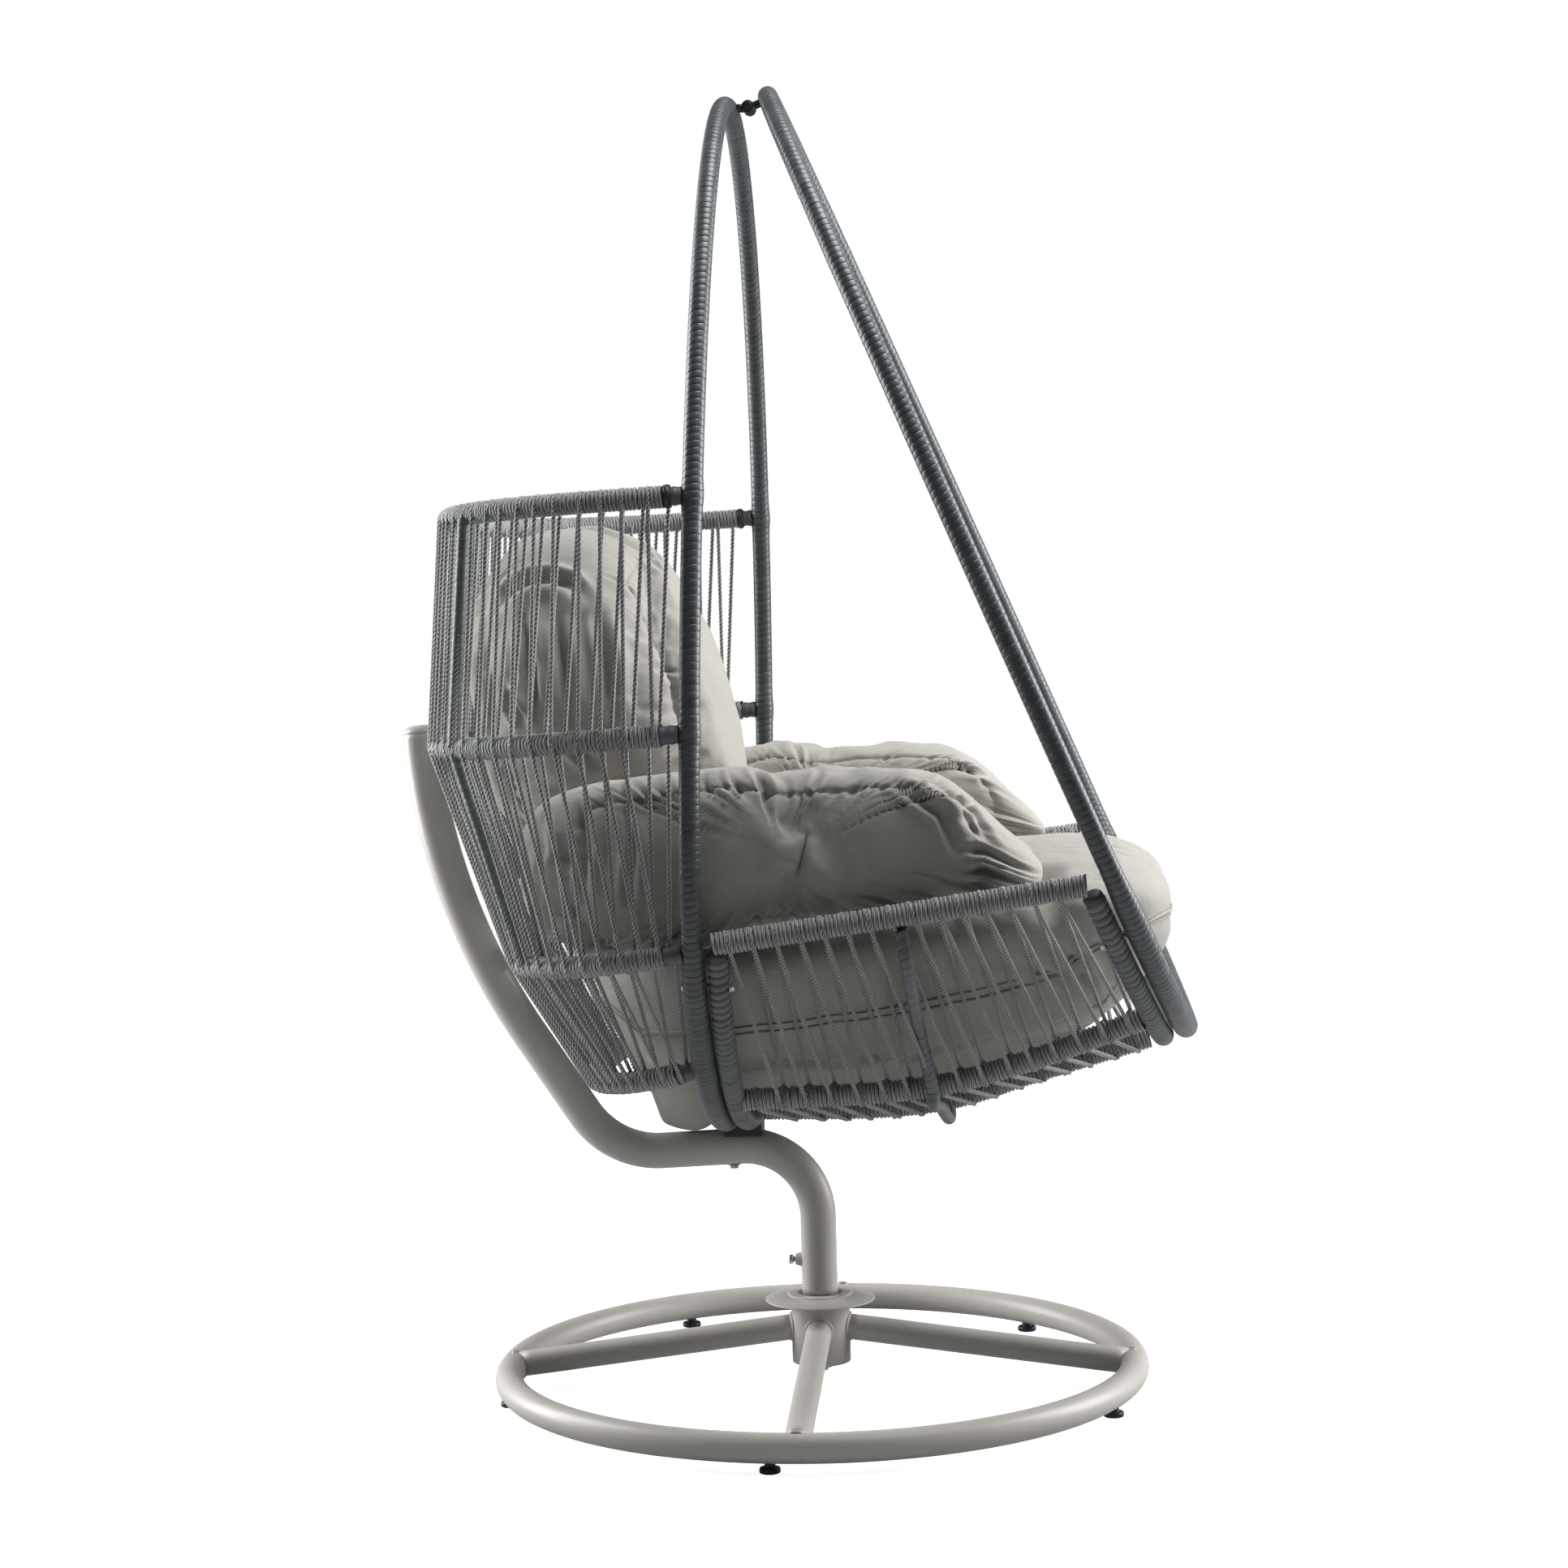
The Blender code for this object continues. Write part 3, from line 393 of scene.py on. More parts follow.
def rounded(profile, radius=0.001, steps=3):
    """The profile with its inner corners rounded."""
    points = [np.array(p, float) for p in profile]
    out = [points[0]]
    for a, b, c in zip(points, points[1:], points[2:]):
        before, after = np.linalg.norm(a - b), np.linalg.norm(c - b)
        r = min(radius, before * 0.45, after * 0.45)
        p, q = b + (a - b) / before * r, b + (c - b) / after * r
        for s in range(steps + 1):
            t = s / steps
            out.append((1 - t) ** 2 * p + 2 * t * (1 - t) * b + t ** 2 * q)
    return out + [points[-1]]


def facing(at, towards):
    """A matrix that puts Z along a direction at a place."""
    turn = Vector(towards).to_track_quat("Z", "Y").to_matrix().to_4x4()
    return Matrix.Translation(Vector(at)) @ turn


def hexagon(angle, radius):
    flat = math.cos(PI / 6) / np.cos(np.mod(angle, PI / 3) - PI / 6)
    return np.where(radius > 0.92 * radius.max(), flat, 1.0) * np.ones_like(radius)


def hex_head(piece, at, towards, radius, height, washer=0.0):
    """A chamfered hexagon head standing on a face, towards a direction, with an optional washer."""
    m = facing(at, towards)
    base = 0.0012 if washer else 0.0
    if washer:
        ring = rounded([(0.0001, 0), (washer, 0), (washer, 0.0012), (0.0001, 0.0012)], 0.0004)
        piece.add(*lathe(ring, 36, m))
    dish = base + height * 0.94
    top = [(0.0001, base), (radius, base), (radius, base + height * 0.86), (radius * 0.86, base + height),
           (radius * 0.45, base + height), (radius * 0.40, dish), (0.0001, dish)]
    piece.add(*lathe(top, 48, m, hexagon))
    return piece


# ---- materials ----------------------------------------------------------------------
class Look:
    """A material with a few short ways to add nodes."""

    def __init__(self, name, colour, roughness, metallic=0.0, **inputs):
        self.material = bpy.data.materials.new(name)
        self.material.use_nodes = True
        self.tree = self.material.node_tree
        self.shader = self.tree.nodes["Principled BSDF"]
        self.shader.inputs["Base Color"].default_value = (*colour, 1)
        self.shader.inputs["Roughness"].default_value = roughness
        self.shader.inputs["Metallic"].default_value = metallic
        for key, value in inputs.items():
            self.shader.inputs[key.replace("_", " ")].default_value = value
        self.colour = colour

    def node(self, kind, **values):
        made = self.tree.nodes.new(kind)
        for key, value in values.items():
            if key in made.inputs:
                self.put(value, made.inputs[key])
            else:
                setattr(made, key, value)
        return made

    def put(self, value, socket):
        if isinstance(value, bpy.types.NodeSocket):
            self.tree.links.new(value, socket)
        else:
            socket.default_value = value

    def math(self, operation, a, b=0.0, clamp=False):
        made = self.tree.nodes.new("ShaderNodeMath")
        made.operation = operation
        made.use_clamp = clamp
        self.put(a, made.inputs[0])
        self.put(b, made.inputs[1])
        return made.outputs[0]

    def add(self, a, b, clamp_it=False):
        return self.math("ADD", a, b, clamp_it)

    def times(self, a, b):
        return self.math("MULTIPLY", a, b)

    def minus(self, a, b, clamp_it=False):
        return self.math("SUBTRACT", a, b, clamp_it)

    def noise(self, scale, detail=2.0, vector=None, rough=0.5):
        made = self.node("ShaderNodeTexNoise", Scale=scale, Detail=detail, Roughness=rough)
        self.put(vector if vector is not None else self.place(), made.inputs["Vector"])
        return made.outputs["Fac"]

    def place(self):
        return self.node("ShaderNodeTexCoord").outputs["Object"]

    def lay(self):
        got = self.node("ShaderNodeAttribute", attribute_name="lay")
        parts = self.node("ShaderNodeSeparateXYZ", Vector=got.outputs["Vector"])
        return parts.outputs[0], parts.outputs[1], parts.outputs[2]

    def shade(self, fac, dark, light):
        """Base colour from dark to light times the material's colour."""
        ramp = self.node("ShaderNodeMapRange")
        self.put(fac, ramp.inputs["Value"])
        ramp.inputs["To Min"].default_value = dark
        ramp.inputs["To Max"].default_value = light
        mix = self.node("ShaderNodeVectorMath", operation="SCALE")
        mix.inputs[0].default_value = self.colour
        self.put(ramp.outputs["Result"], mix.inputs["Scale"])
        self.put(mix.outputs["Vector"], self.shader.inputs["Base Color"])

    def rough(self, fac, low, high):
        ramp = self.node("ShaderNodeMapRange")
        self.put(fac, ramp.inputs["Value"])
        ramp.inputs["To Min"].default_value = low
        ramp.inputs["To Max"].default_value = high
        self.put(ramp.outputs["Result"], self.shader.inputs["Roughness"])

    def bump(self, height, distance, strength=1.0):
        made = self.node("ShaderNodeBump", Strength=strength, Distance=distance)
        self.put(height, made.inputs["Height"])
        self.put(made.outputs["Normal"], self.shader.inputs["Normal"])


def wave(look, value, times):
    """0 to 1 and back, so many times for each unit of value."""
    turned = look.times(value, 2 * PI * times)
    return look.add(look.times(look.math("SINE", turned), 0.5), 0.5)


def band_look(name, colour, roughness):
    look = Look(name, colour, roughness, Specular_IOR_Level=0.55)
    along, across, turn = look.lay()
    # Painted shade: the colour darkens in the narrow gaps between the band's turns, where shade falls in the
    # grooves.
    edge = look.math("ABSOLUTE", look.minus(across, 0.5))
    gap = look.minus(1.0, look.times(look.minus(edge, 0.42, True), 12.0), True)
    streak_at = look.node("ShaderNodeCombineXYZ")
    look.put(look.times(along, 14.0), streak_at.inputs[0])
    look.put(look.times(across, 9.0), streak_at.inputs[1])
    look.put(look.times(turn, 31.0), streak_at.inputs[2])
    streak = look.noise(1.0, 3.0, streak_at.outputs[0])
    dust = look.noise(55.0, 3.0)
    level = look.add(look.times(turn, 0.22), look.times(streak, 0.45))
    level = look.add(level, look.times(dust, 0.33))
    look.shade(look.times(level, look.add(look.times(gap, 0.85), 0.15)), 0.25, 1.45)
    look.rough(streak, roughness - 0.08, roughness + 0.10)
    ridges = look.add(wave(look, across, 5.0), look.times(streak, 2.0))
    look.bump(ridges, 0.00012, 0.4)
    return look.material


def rope_look(name, colour, strands, laid):
    """Twisted cord. strands run round it; laid is their slope along it for wrapped turns."""
    look = Look(name, colour, 0.72, Specular_IOR_Level=0.35)
    along, across, _ = look.lay()
    slant = look.add(look.times(across, strands), look.times(along, laid))
    # Painted shade: the colour darkens in the grooves between the strands, in step with the cord's grooved
    # shape; the same wave also gives the bump its height.
    groove = look.math("POWER", wave(look, look.minus(slant, 0.25), 1.0), 0.7)
    fibre = wave(look, look.add(look.times(across, strands * 4),
                                 look.times(along, -2.2 * max(laid, 60.0))), 1.0)
    fuzz = look.noise(700.0, 3.0)
    tone = look.noise(9.0, 2.0)
    level = look.times(groove, look.add(look.times(fibre, 0.25), 0.70))
    level = look.add(look.times(level, 0.72), look.times(fuzz, 0.14))
    level = look.add(level, look.times(tone, 0.24))
    # Painted shade: each wrapped turn darkens towards its edges, in the gaps between neighbouring turns.
    if laid:
        edge = look.minus(0.5, look.math("ABSOLUTE", look.minus(across, 0.5)))
        level = look.times(level, look.add(look.times(edge, 5.0), 0.05, True))
    look.shade(level, 0.05, 1.80)
    look.rough(fuzz, 0.50, 0.78)
    height = look.add(look.times(groove, 1.0), look.times(fibre, 0.35))
    look.bump(height, 0.0007, 0.8)
    return look.material


def powder_look():
    look = Look("powder_coat", (0.50, 0.482, 0.452), 0.40, Specular_IOR_Level=0.45)
    peel = look.noise(620.0, 2.0)
    cloud = look.noise(6.0, 3.0)
    specks = look.noise(240.0, 1.0)
    level = look.add(look.times(cloud, 0.7), look.times(specks, 0.3))
    look.shade(level, 0.90, 1.10)
    look.rough(cloud, 0.34, 0.47)
    look.bump(look.add(peel, look.times(specks, 0.8)), 0.00022, 0.45)
    return look.material


def fabric_look():
    look = Look("cushion_fabric", (0.37, 0.357, 0.326), 0.93, Specular_IOR_Level=0.2,
                Sheen_Weight=0.18, Sheen_Roughness=0.6)
    at = look.place()
    parts = look.node("ShaderNodeSeparateXYZ", Vector=at)
    side = look.add(parts.outputs[0], parts.outputs[1])
    threads = look.times(wave(look, side, 620.0), wave(look, parts.outputs[2], 620.0))
    slub_at = look.node("ShaderNodeCombineXYZ")
    look.put(look.times(side, 60.0), slub_at.inputs[0])
    look.put(look.times(look.minus(parts.outputs[0], parts.outputs[1]), 60.0),
             slub_at.inputs[1])
    look.put(look.times(parts.outputs[2], 420.0), slub_at.inputs[2])
    slub = look.noise(1.0, 3.0, slub_at.outputs[0], 0.65)
    grain = look.noise(900.0, 2.0)
    cloud = look.noise(7.0, 3.0)
    level = look.add(look.times(slub, 0.42), look.times(grain, 0.28))
    level = look.add(level, look.times(cloud, 0.22))
    level = look.add(level, look.times(threads, 0.10))
    look.shade(level, 0.62, 1.38)
    look.rough(grain, 0.86, 1.0)
    look.bump(look.add(threads, look.times(slub, 0.9)), 0.0006, 0.5)
    return look.material


def metal_look(name, colour, roughness, metallic=1.0):
    look = Look(name, colour, roughness, metallic)
    grain = look.noise(450.0, 3.0)
    cloud = look.noise(60.0, 2.0)
    look.shade(cloud, 0.82, 1.15)
    look.rough(grain, roughness - 0.08, roughness + 0.12)
    look.bump(grain, 0.0001, 0.35)
    return look.material


def plastic_look(name, colour, roughness):
    look = Look(name, colour, roughness, Specular_IOR_Level=0.5)
    grain = look.noise(1300.0, 2.0)
    cloud = look.noise(40.0, 2.0)
    look.shade(cloud, 0.8, 1.25)
    look.rough(cloud, roughness - 0.06, roughness + 0.10)
    look.bump(grain, 0.0001, 0.5)
    return look.material


BAND_DARK = band_look("hoop_band", (0.084, 0.097, 0.105), 0.38)
BAND_SOFT = band_look("frame_band", (0.150, 0.164, 0.172), 0.50)
STRUNG = rope_look("strung_cord", (0.345, 0.358, 0.348), 3.0, 0.0)
LAID = rope_look("laid_cord", (0.37, 0.386, 0.386), 2.0, 60.0)
KNOT = plastic_look("knot_tape", (0.028, 0.032, 0.035), 0.45)
POWDER = powder_look()
FABRIC = fabric_look()
STEEL = metal_look("zinc_steel", (0.62, 0.63, 0.64), 0.30)
BLACK = metal_look("black_steel", (0.035, 0.036, 0.038), 0.40, 0.6)
PLASTIC = plastic_look("pad_plastic", (0.012, 0.016, 0.026), 0.42)
NYLON = plastic_look("bearing_nylon", (0.72, 0.72, 0.69), 0.5)


# ---- hoops and frames -----------------------------------------------------------------
def swell(z, centres, width, height):
    return sum(height * np.exp(-((z - c) / width) ** 2) for c in centres)


def hoop_radius(front):
    """Outer radius of a hoop's wrapping: fuller where the seat frames are tied on, with cuffs."""
    cuffs = () if front else tuple(v[0] for v in BACK_RINGS.values())

    def radius(centre, at):
        z = centre[..., 2]
        full = 1 / (1 + np.exp((z - (0.80 if front else 0.70)) / 0.012))
        return HOOP_OUTER + 0.0032 * full + swell(z, cuffs, 0.017, 0.0016)
    return radius


def make_hoops():
    for name, front, body in (("rear_hoop", False, "chair"), ("front_hoop", True, "front_frame")):
        lean = hoop_plane(front)[2]
        start = (0, -math.cos(lean), -math.sin(lean))
        piece = Piece()
        piece.add(*wrapped(hoop_line(front), hoop_radius(front), BAND_PITCH, BAND, 20, True, start, 0.10))
        piece.make(name + "_wrap", BAND_DARK, body, "hoop_wrap", name)


def even_radius(base):
    """The same radius at every place of a line."""
    return lambda centre, at: base


def make_frames():
    """The seat's end frames, its thin middle frame and the basket's ribs, band wrapped."""
    rear = even(lower_egg(False, REAR_U_OFFSET, RAIL_REAR_Z - 0.012), 0.008)
    front = even(lower_egg(True, FRONT_U_OFFSET, RAIL_FRONT_Z - 0.014), 0.008)
    for name, line in (("seat_rear_u", rear), ("seat_front_u", front)):
        piece = Piece()
        piece.add(*wrapped(line, even_radius(FRAME_OUTER), SOFT_PITCH, SOFT_BAND, 20, False, (0, 1, 0), 0.22))
        caps = ((line[0], line[0] - line[3]), (line[-1], line[-1] - line[-4]))
        for at, way in caps:
            dome = [(0.0001, 0.004), (0.008, 0.0032), (0.0130, 0.0), (0.0142, -0.004), (0.0142, -0.022)]
            piece.add(*lathe(rounded(dome, 0.002), 32, facing(at, way)))
        piece.make(name + "_wrap", BAND_SOFT, "chair", "hoop_wrap", name)

    top, bottom, centre = seat_lines()
    piece = Piece()
    line = mid_frame_line(top, bottom, centre)
    piece.add(*wrapped(line, even_radius(MID_FRAME_OUTER), SOFT_PITCH, BAND, 14, False, (0, 1, 0), 0.15))
    piece.make("seat_mid_u_wrap", BAND_SOFT, "chair", "hoop_wrap", "seat_mid_u")

    for number, (upper, lower) in enumerate((("rim_ring", "middle_ring"), ("middle_ring", "lower_ring")), 1):
        for side, sign in (("left", -1), ("right", 1)):
            head, foot = ring_at(upper, sign * RIB_ANGLE), ring_at(lower, sign * RIB_ANGLE)
            outwards = RIB_PROUD * unit(np.array((head[0], head[1] - AXIS_Y, 0.0)))
            piece = Piece()
            line = even(np.array((foot, head)) + outwards, 0.01)
            piece.add(*wrapped(line, even_radius(RIB_OUTER), RIB_PITCH, BAND, 14, False, (1, 0, 0), 0.12))
            piece.make(f"rib_{number}_{side}_wrap", BAND_SOFT, "chair", "hoop_wrap", f"rib_{number}_{side}")


def ring_at(name, angle):
    z_hoop, z_rear, f_rear, power = BACK_RINGS[name]
    f_hoop, w_hoop = egg_at(False, z_hoop)
    f_start = f_hoop - 0.0188
    side = math.copysign(abs(math.sin(angle)) ** (2 / power), math.sin(angle))
    back = max(0.0, math.cos(angle)) ** (2 / power)
    return place(f_start + (f_rear - f_start) * back, w_hoop * side, z_hoop + (z_rear - z_hoop) * back)


def line_at(points, share):
    vectors = np.array(points, float)
    return sample(vectors, np.array([share * lengths_along(vectors)[-1]]))[0]


def mid_frame_line(top, bottom, centre):
    reach = 0.0165 + 0.009 + 0.002
    head, foot, base = line_at(top, 0.50), line_at(bottom, 0.46), line_at(centre, 0.46)
    half = [(head[0], head[1] + 0.002, head[2] - 0.012),
            (head[0] + 0.010, head[1] - 0.010, head[2] - 0.080),
            (foot[0] - 0.010, foot[1] + 0.090, foot[2] + 0.090)]
    for angle in (0, 35, 70):
        half.append((foot[0] + 0.004, foot[1] + math.cos(math.radians(angle)) * reach,
                     foot[2] - math.sin(math.radians(angle)) * reach))
    half.append((foot[0] + 0.008, foot[1] * 0.60, foot[2] - reach - 0.020))
    half.append((base[0] + 0.010, 0.0, base[2] - reach))
    return even(smooth_route(mirrored(half + [(f, -w, z) for f, w, z in half[-2::-1]], 1)), LINE_STEP)


# ---- rails with laid cord -------------------------------------------------------------
def laid_cord(piece, line, radius, bare):
    """Cord wound closely round a rail, leaving out a length at each end."""
    total = lengths_along(line)[-1]
    part = sample(line, np.linspace(bare, total - bare, int(total / LINE_STEP)))
    piece.add(*wrapped(part, even_radius(radius), CORD_PITCH, CORD, 14, False, (0.1, 0.2, 1), 0.24, 0.0004))


def collar(piece, line, start, end, radius):
    """Smooth taped length of a rail."""
    part = sample(line, np.linspace(start, end, 12))
    ripple = radius * (1 + 0.05 * np.sin(np.linspace(0, 4 * PI, 12)))
    piece.add(*swept(part, ripple, 18, False))


def make_rings():
    for name in BACK_RINGS:
        line = ring_line(name)
        total = lengths_along(line)[-1]
        piece = Piece()
        laid_cord(piece, line, RING_OUTER, 0.020)
        piece.make(name + "_cord", LAID, "chair", "cord", name)
        ends = Piece()
        collar(ends, line, 0.0, TAPE_LENGTH, TAPE_OUTER)
        collar(ends, line, total - TAPE_LENGTH, total, TAPE_OUTER)
        ends.make(name + "_tape", BAND_SOFT, "chair", "hoop_wrap")
    knots = Piece()
    line = ring_line("rim_ring")
    total = lengths_along(line)[-1]
    for at in (0.019, total - 0.019):
        here = sample(line, np.array([at, at + 0.001]))
        m = facing(here[0], here[1] - here[0])
        hump = [(0.0001, -0.006), (0.0130, -0.006), (0.0164, -0.003), (0.0168, 0.0), (0.0160, 0.004),
                (0.0001, 0.006)]
        knots.add(*lathe(rounded(hump, 0.002), 28, m))
    knots.make("rim_knots", KNOT, "chair", "cord")


def make_rails():
    top, bottom, centre = seat_lines()
    for side, sign in (("left", -1), ("right", 1)):
        for label, points in (("top", top), ("bottom", bottom)):
            route = mirrored(points, sign)
            line = even(smooth_route(route) if label == "bottom" else route, LINE_STEP)
            piece = Piece()
            laid_cord(piece, line, RAIL_OUTER, 0.002)
            piece.make(f"{label}_rail_{side}_cord", LAID, "chair", "cord", f"{label}_rail_{side}")
    piece = Piece()
    laid_cord(piece, even(smooth_route(mirrored(centre, 1)), LINE_STEP), RAIL_OUTER, 0.002)
    piece.make("centre_rail_cord", LAID, "chair", "cord", "centre_rail")


# ---- strung cords ---------------------------------------------------------------------
def strung(upper, lower, count, lean_out, lean_in, hold_upper, hold_lower, outwards, ends=(0.02, 0.98)):
    """One long cord that runs down outside, under the lower rail, up inside and over the upper."""
    long_upper, long_lower = lengths_along(upper)[-1], lengths_along(lower)[-1]

    def frame_at(share):
        share = min(max(share, 0.001), 0.999)
        a = sample(upper, np.array([share - 0.001, share, share + 0.001]) * long_upper)
        b = sample(lower, np.array([share - 0.001, share, share + 0.001]) * long_lower)
        up = unit(a[1] - b[1])
        side_a = unit(np.cross(a[2] - a[0], up))
        side_b = unit(np.cross(b[2] - b[0], up))
        sign = math.copysign(1, side_a.dot(outwards(a[1])))
        return a[1], b[1], up, side_a * sign, side_b * sign

    def at_upper(share, angle):
        a, _, up, out, _ = frame_at(share)
        return a + hold_upper * (math.cos(angle) * out + math.sin(angle) * up)

    def at_lower(share, angle):
        _, b, up, _, out = frame_at(share)
        return b + hold_lower * (math.cos(angle) * out - math.sin(angle) * up)

    path = []
    span = ends[1] - ends[0]
    step = span / count
    for i in range(count):
        uneven = RNG.uniform(-0.12, 0.12)
        here = ends[0] + (i + 0.25 + uneven) * step
        there = here + lean_out * step
        back = here + (lean_out + lean_in) * step
        for angle in np.linspace(PI, 0.15, 6):
            path.append(at_upper(here - 0.16 * step * angle / PI, angle))
        for angle in np.linspace(0.15, PI - 0.15, 6):
            path.append(at_lower(there + 0.16 * step * angle / PI, angle))
        path.append(at_upper(back, PI))
    return np.array(path)


def make_strung():
    def away(point):
        return np.array((point[0], point[1] - AXIS_Y + 0.05, 0.0))

    order = list(BACK_RINGS)
    bands = ((1, 45, 0.42, 0.36), (2, 22, 0.66, 0.26), (2, 20, 0.62, 0.24))
    for number, (upper, lower, (cords, count, out, back)) in enumerate(zip(order, order[1:], bands), 1):
        piece = Piece()
        for cord in range(cords):
            begin = 0.016 + cord * 0.5 * 0.968 / count
            path = strung(ring_line(upper), ring_line(lower), count, out, back, 0.0140, 0.0144, away,
                          (begin, begin + 0.968 - 0.5 * (cords - 1) * 0.968 / count))
            piece.add(*rope(path, seed=1.7 * cord))
        piece.make(f"strung_back_{number}", STRUNG, "chair", "cord", f"back_cords_{number}")

    top, bottom, centre = seat_lines()
    for side, sign in (("left", -1), ("right", 1)):
        high = even(mirrored(top, sign), LINE_STEP)
        low = even(smooth_route(mirrored(bottom, sign)), LINE_STEP)
        keel = even(smooth_route(mirrored(centre, 1)), LINE_STEP)
        path = strung(high, low, 15, 0.80, 0.12, 0.0144, 0.0156, lambda p: np.array((-sign, 0.0, 0.15)),
                      (0.035, 0.955))
        piece = Piece()
        piece.add(*rope(path, 0.0034))
        piece.make(f"strung_side_{side}", STRUNG, "chair", "cord", f"side_cords_{side}")
        path = strung(low, keel, 15, 0.75, 0.20, 0.0156, 0.0160, lambda p: np.array((0.0, 0.0, -1.0)),
                      (0.035, 0.955))
        piece = Piece()
        piece.add(*rope(path, 0.0034))
        piece.make(f"strung_bottom_{side}", STRUNG, "chair", "cord", f"bottom_cords_{side}")


# ---- post and base ----------------------------------------------------------------------
def weld(piece, loop, radius=0.0026):
    """A rippled bead along a closed loop."""
    loop = np.concatenate((loop, loop[:1]))
    line = even(loop, 0.0016)[:-1]
    ripple = radius * (1 + 0.16 * np.sin(lengths_along(line) * 2 * PI / 0.0044))
    piece.add(*swept(line, ripple, 8, True))


def make_base():
    circle = np.array([place(RING_RADIUS * math.cos(a), RING_RADIUS * math.sin(a), RING_Z)
                       for a in 2 * PI * np.arange(240) / 240])
    ring = Piece()
    ring.add(*swept(circle, RING_TUBE, 32, True, (0, 0, 1)))
    ring.make("base_ring_tube", POWDER, "base", "powder_coat", "base_ring")
    beads = Piece()
    for number, (f, w) in enumerate(((0, 1), (1, 0), (0, -1), (-1, 0)), 1):
        out = place(f, w, 0) - place(0, 0, 0)
        cross = np.cross(out, (0, 0, 1.0))
        start = place(0, 0, SPOKE_HUB_Z) + out * (HUB_OUTER - 0.008)
        end = place(0, 0, RING_Z + 0.003) + out * (RING_RADIUS - 0.010)
        spoke = Piece()
        spoke.add(*swept(even(np.array((start, end)), 0.02), SPOKE_TUBE, 28, False, (0, 0, 1)))
        spoke.make(f"spoke_{number}_tube", POWDER, "base", "powder_coat", f"spoke_{number}")
        slope = (end - start)[2] / np.linalg.norm((end - start)[:2])
        near, far = [], []
        for a in 2 * PI * np.arange(40) / 40:
            side, rise = SPOKE_TUBE * math.sin(a), SPOKE_TUBE * math.cos(a)
            reach = math.sqrt(HUB_OUTER ** 2 - side ** 2)
            height = SPOKE_HUB_Z + rise + slope * (reach - HUB_OUTER)
            near.append(place(0, 0, height) + out * reach + cross * side)
            reach = RING_RADIUS - math.sqrt(max(0.0, RING_TUBE ** 2 - (rise + 0.003) ** 2)) - side ** 2 / 0.9
            far.append(place(0, 0, RING_Z + 0.003 + rise) + out * reach + cross * side)
        weld(beads, np.array(near), 0.0030)
        weld(beads, np.array(far), 0.0026)
    beads.make("base_welds", POWDER, "base", "powder_coat")

    for number in range(PAD_COUNT):
        a = math.radians(PAD_FIRST + number * 360 / PAD_COUNT)
        pad = Piece()
        profile = [(0.0001, 0.0148), (0.0075, 0.0148), (0.0080, 0.0085), (0.0142, 0.0072), (0.0150, 0.0058),
                   (0.0150, 0.0012), (0.0142, 0.0), (0.0001, 0.0)]
        at = place(RING_RADIUS * math.sin(a), RING_RADIUS * math.cos(a), 0)
        pad.add(*lathe(rounded(profile, 0.0010), 40, Matrix.Translation(Vector(at))))
        pad.make(f"foot_{number + 1}_pad", PLASTIC, "base", "foot_plastic", f"foot_{number + 1}")


def make_hub():
    centre = Matrix.Translation(Vector(place(0, 0, 0)))
    hub = Piece()
    wall = [(0.036, 0.0405), (HUB_OUTER, 0.0405), (HUB_OUTER, 0.1362), (0.036, 0.1362)]
    hub.add(*lathe(rounded(wall, 0.0016), 96, centre))
    hub.add(*lathe([(0.036, 0.1362), (0.036, 0.0405)], 96, centre))
    hub.make("hub_shell", POWDER, "base", "powder_coat", "hub_tube")
    disc = Piece()
    skirt = [(0.0330, 0.1368), (0.0330, 0.1462), (0.0345, 0.1474), (0.0470, 0.1470), (0.0488, 0.1462),
             (0.0500, 0.1448), (0.0580, 0.1446), (0.0700, 0.1425), (0.0800, 0.1396), (0.0838, 0.1384),
             (0.0842, 0.1370), (0.0832, 0.1362), (0.0780, 0.1372), (0.0640, 0.1392), (0.0460, 0.1392),
             (0.0460, 0.1366), (0.0330, 0.1366)]
    disc.add(*lathe(rounded(skirt, 0.0008, 2), 120, centre))
    disc.make("cover_disc_shell", POWDER, "base", "powder_coat", "cover_disc")

    way = unit(np.array((1.0, -1.0, 0.0)))
    at = place(0, 0, 0.1225)
    knob = Piece()
    grip = [(0.0001, 0.0), (0.0046, 0.0), (0.0050, 0.0042), (0.0088, 0.0050), (0.0095, 0.0062),
            (0.0095, 0.0195), (0.0080, 0.0212), (0.0001, 0.0216)]

    def flutes(angle, radius):
        return 1 + 0.045 * np.cos(8 * angle) * (radius > 0.0087)

    knob.add(*lathe(rounded(grip, 0.0009), 64, facing(at + way * 0.0440, way), flutes))
    knob.make("hub_knob_grip", PLASTIC, "base", "foot_plastic", "hub_knob")


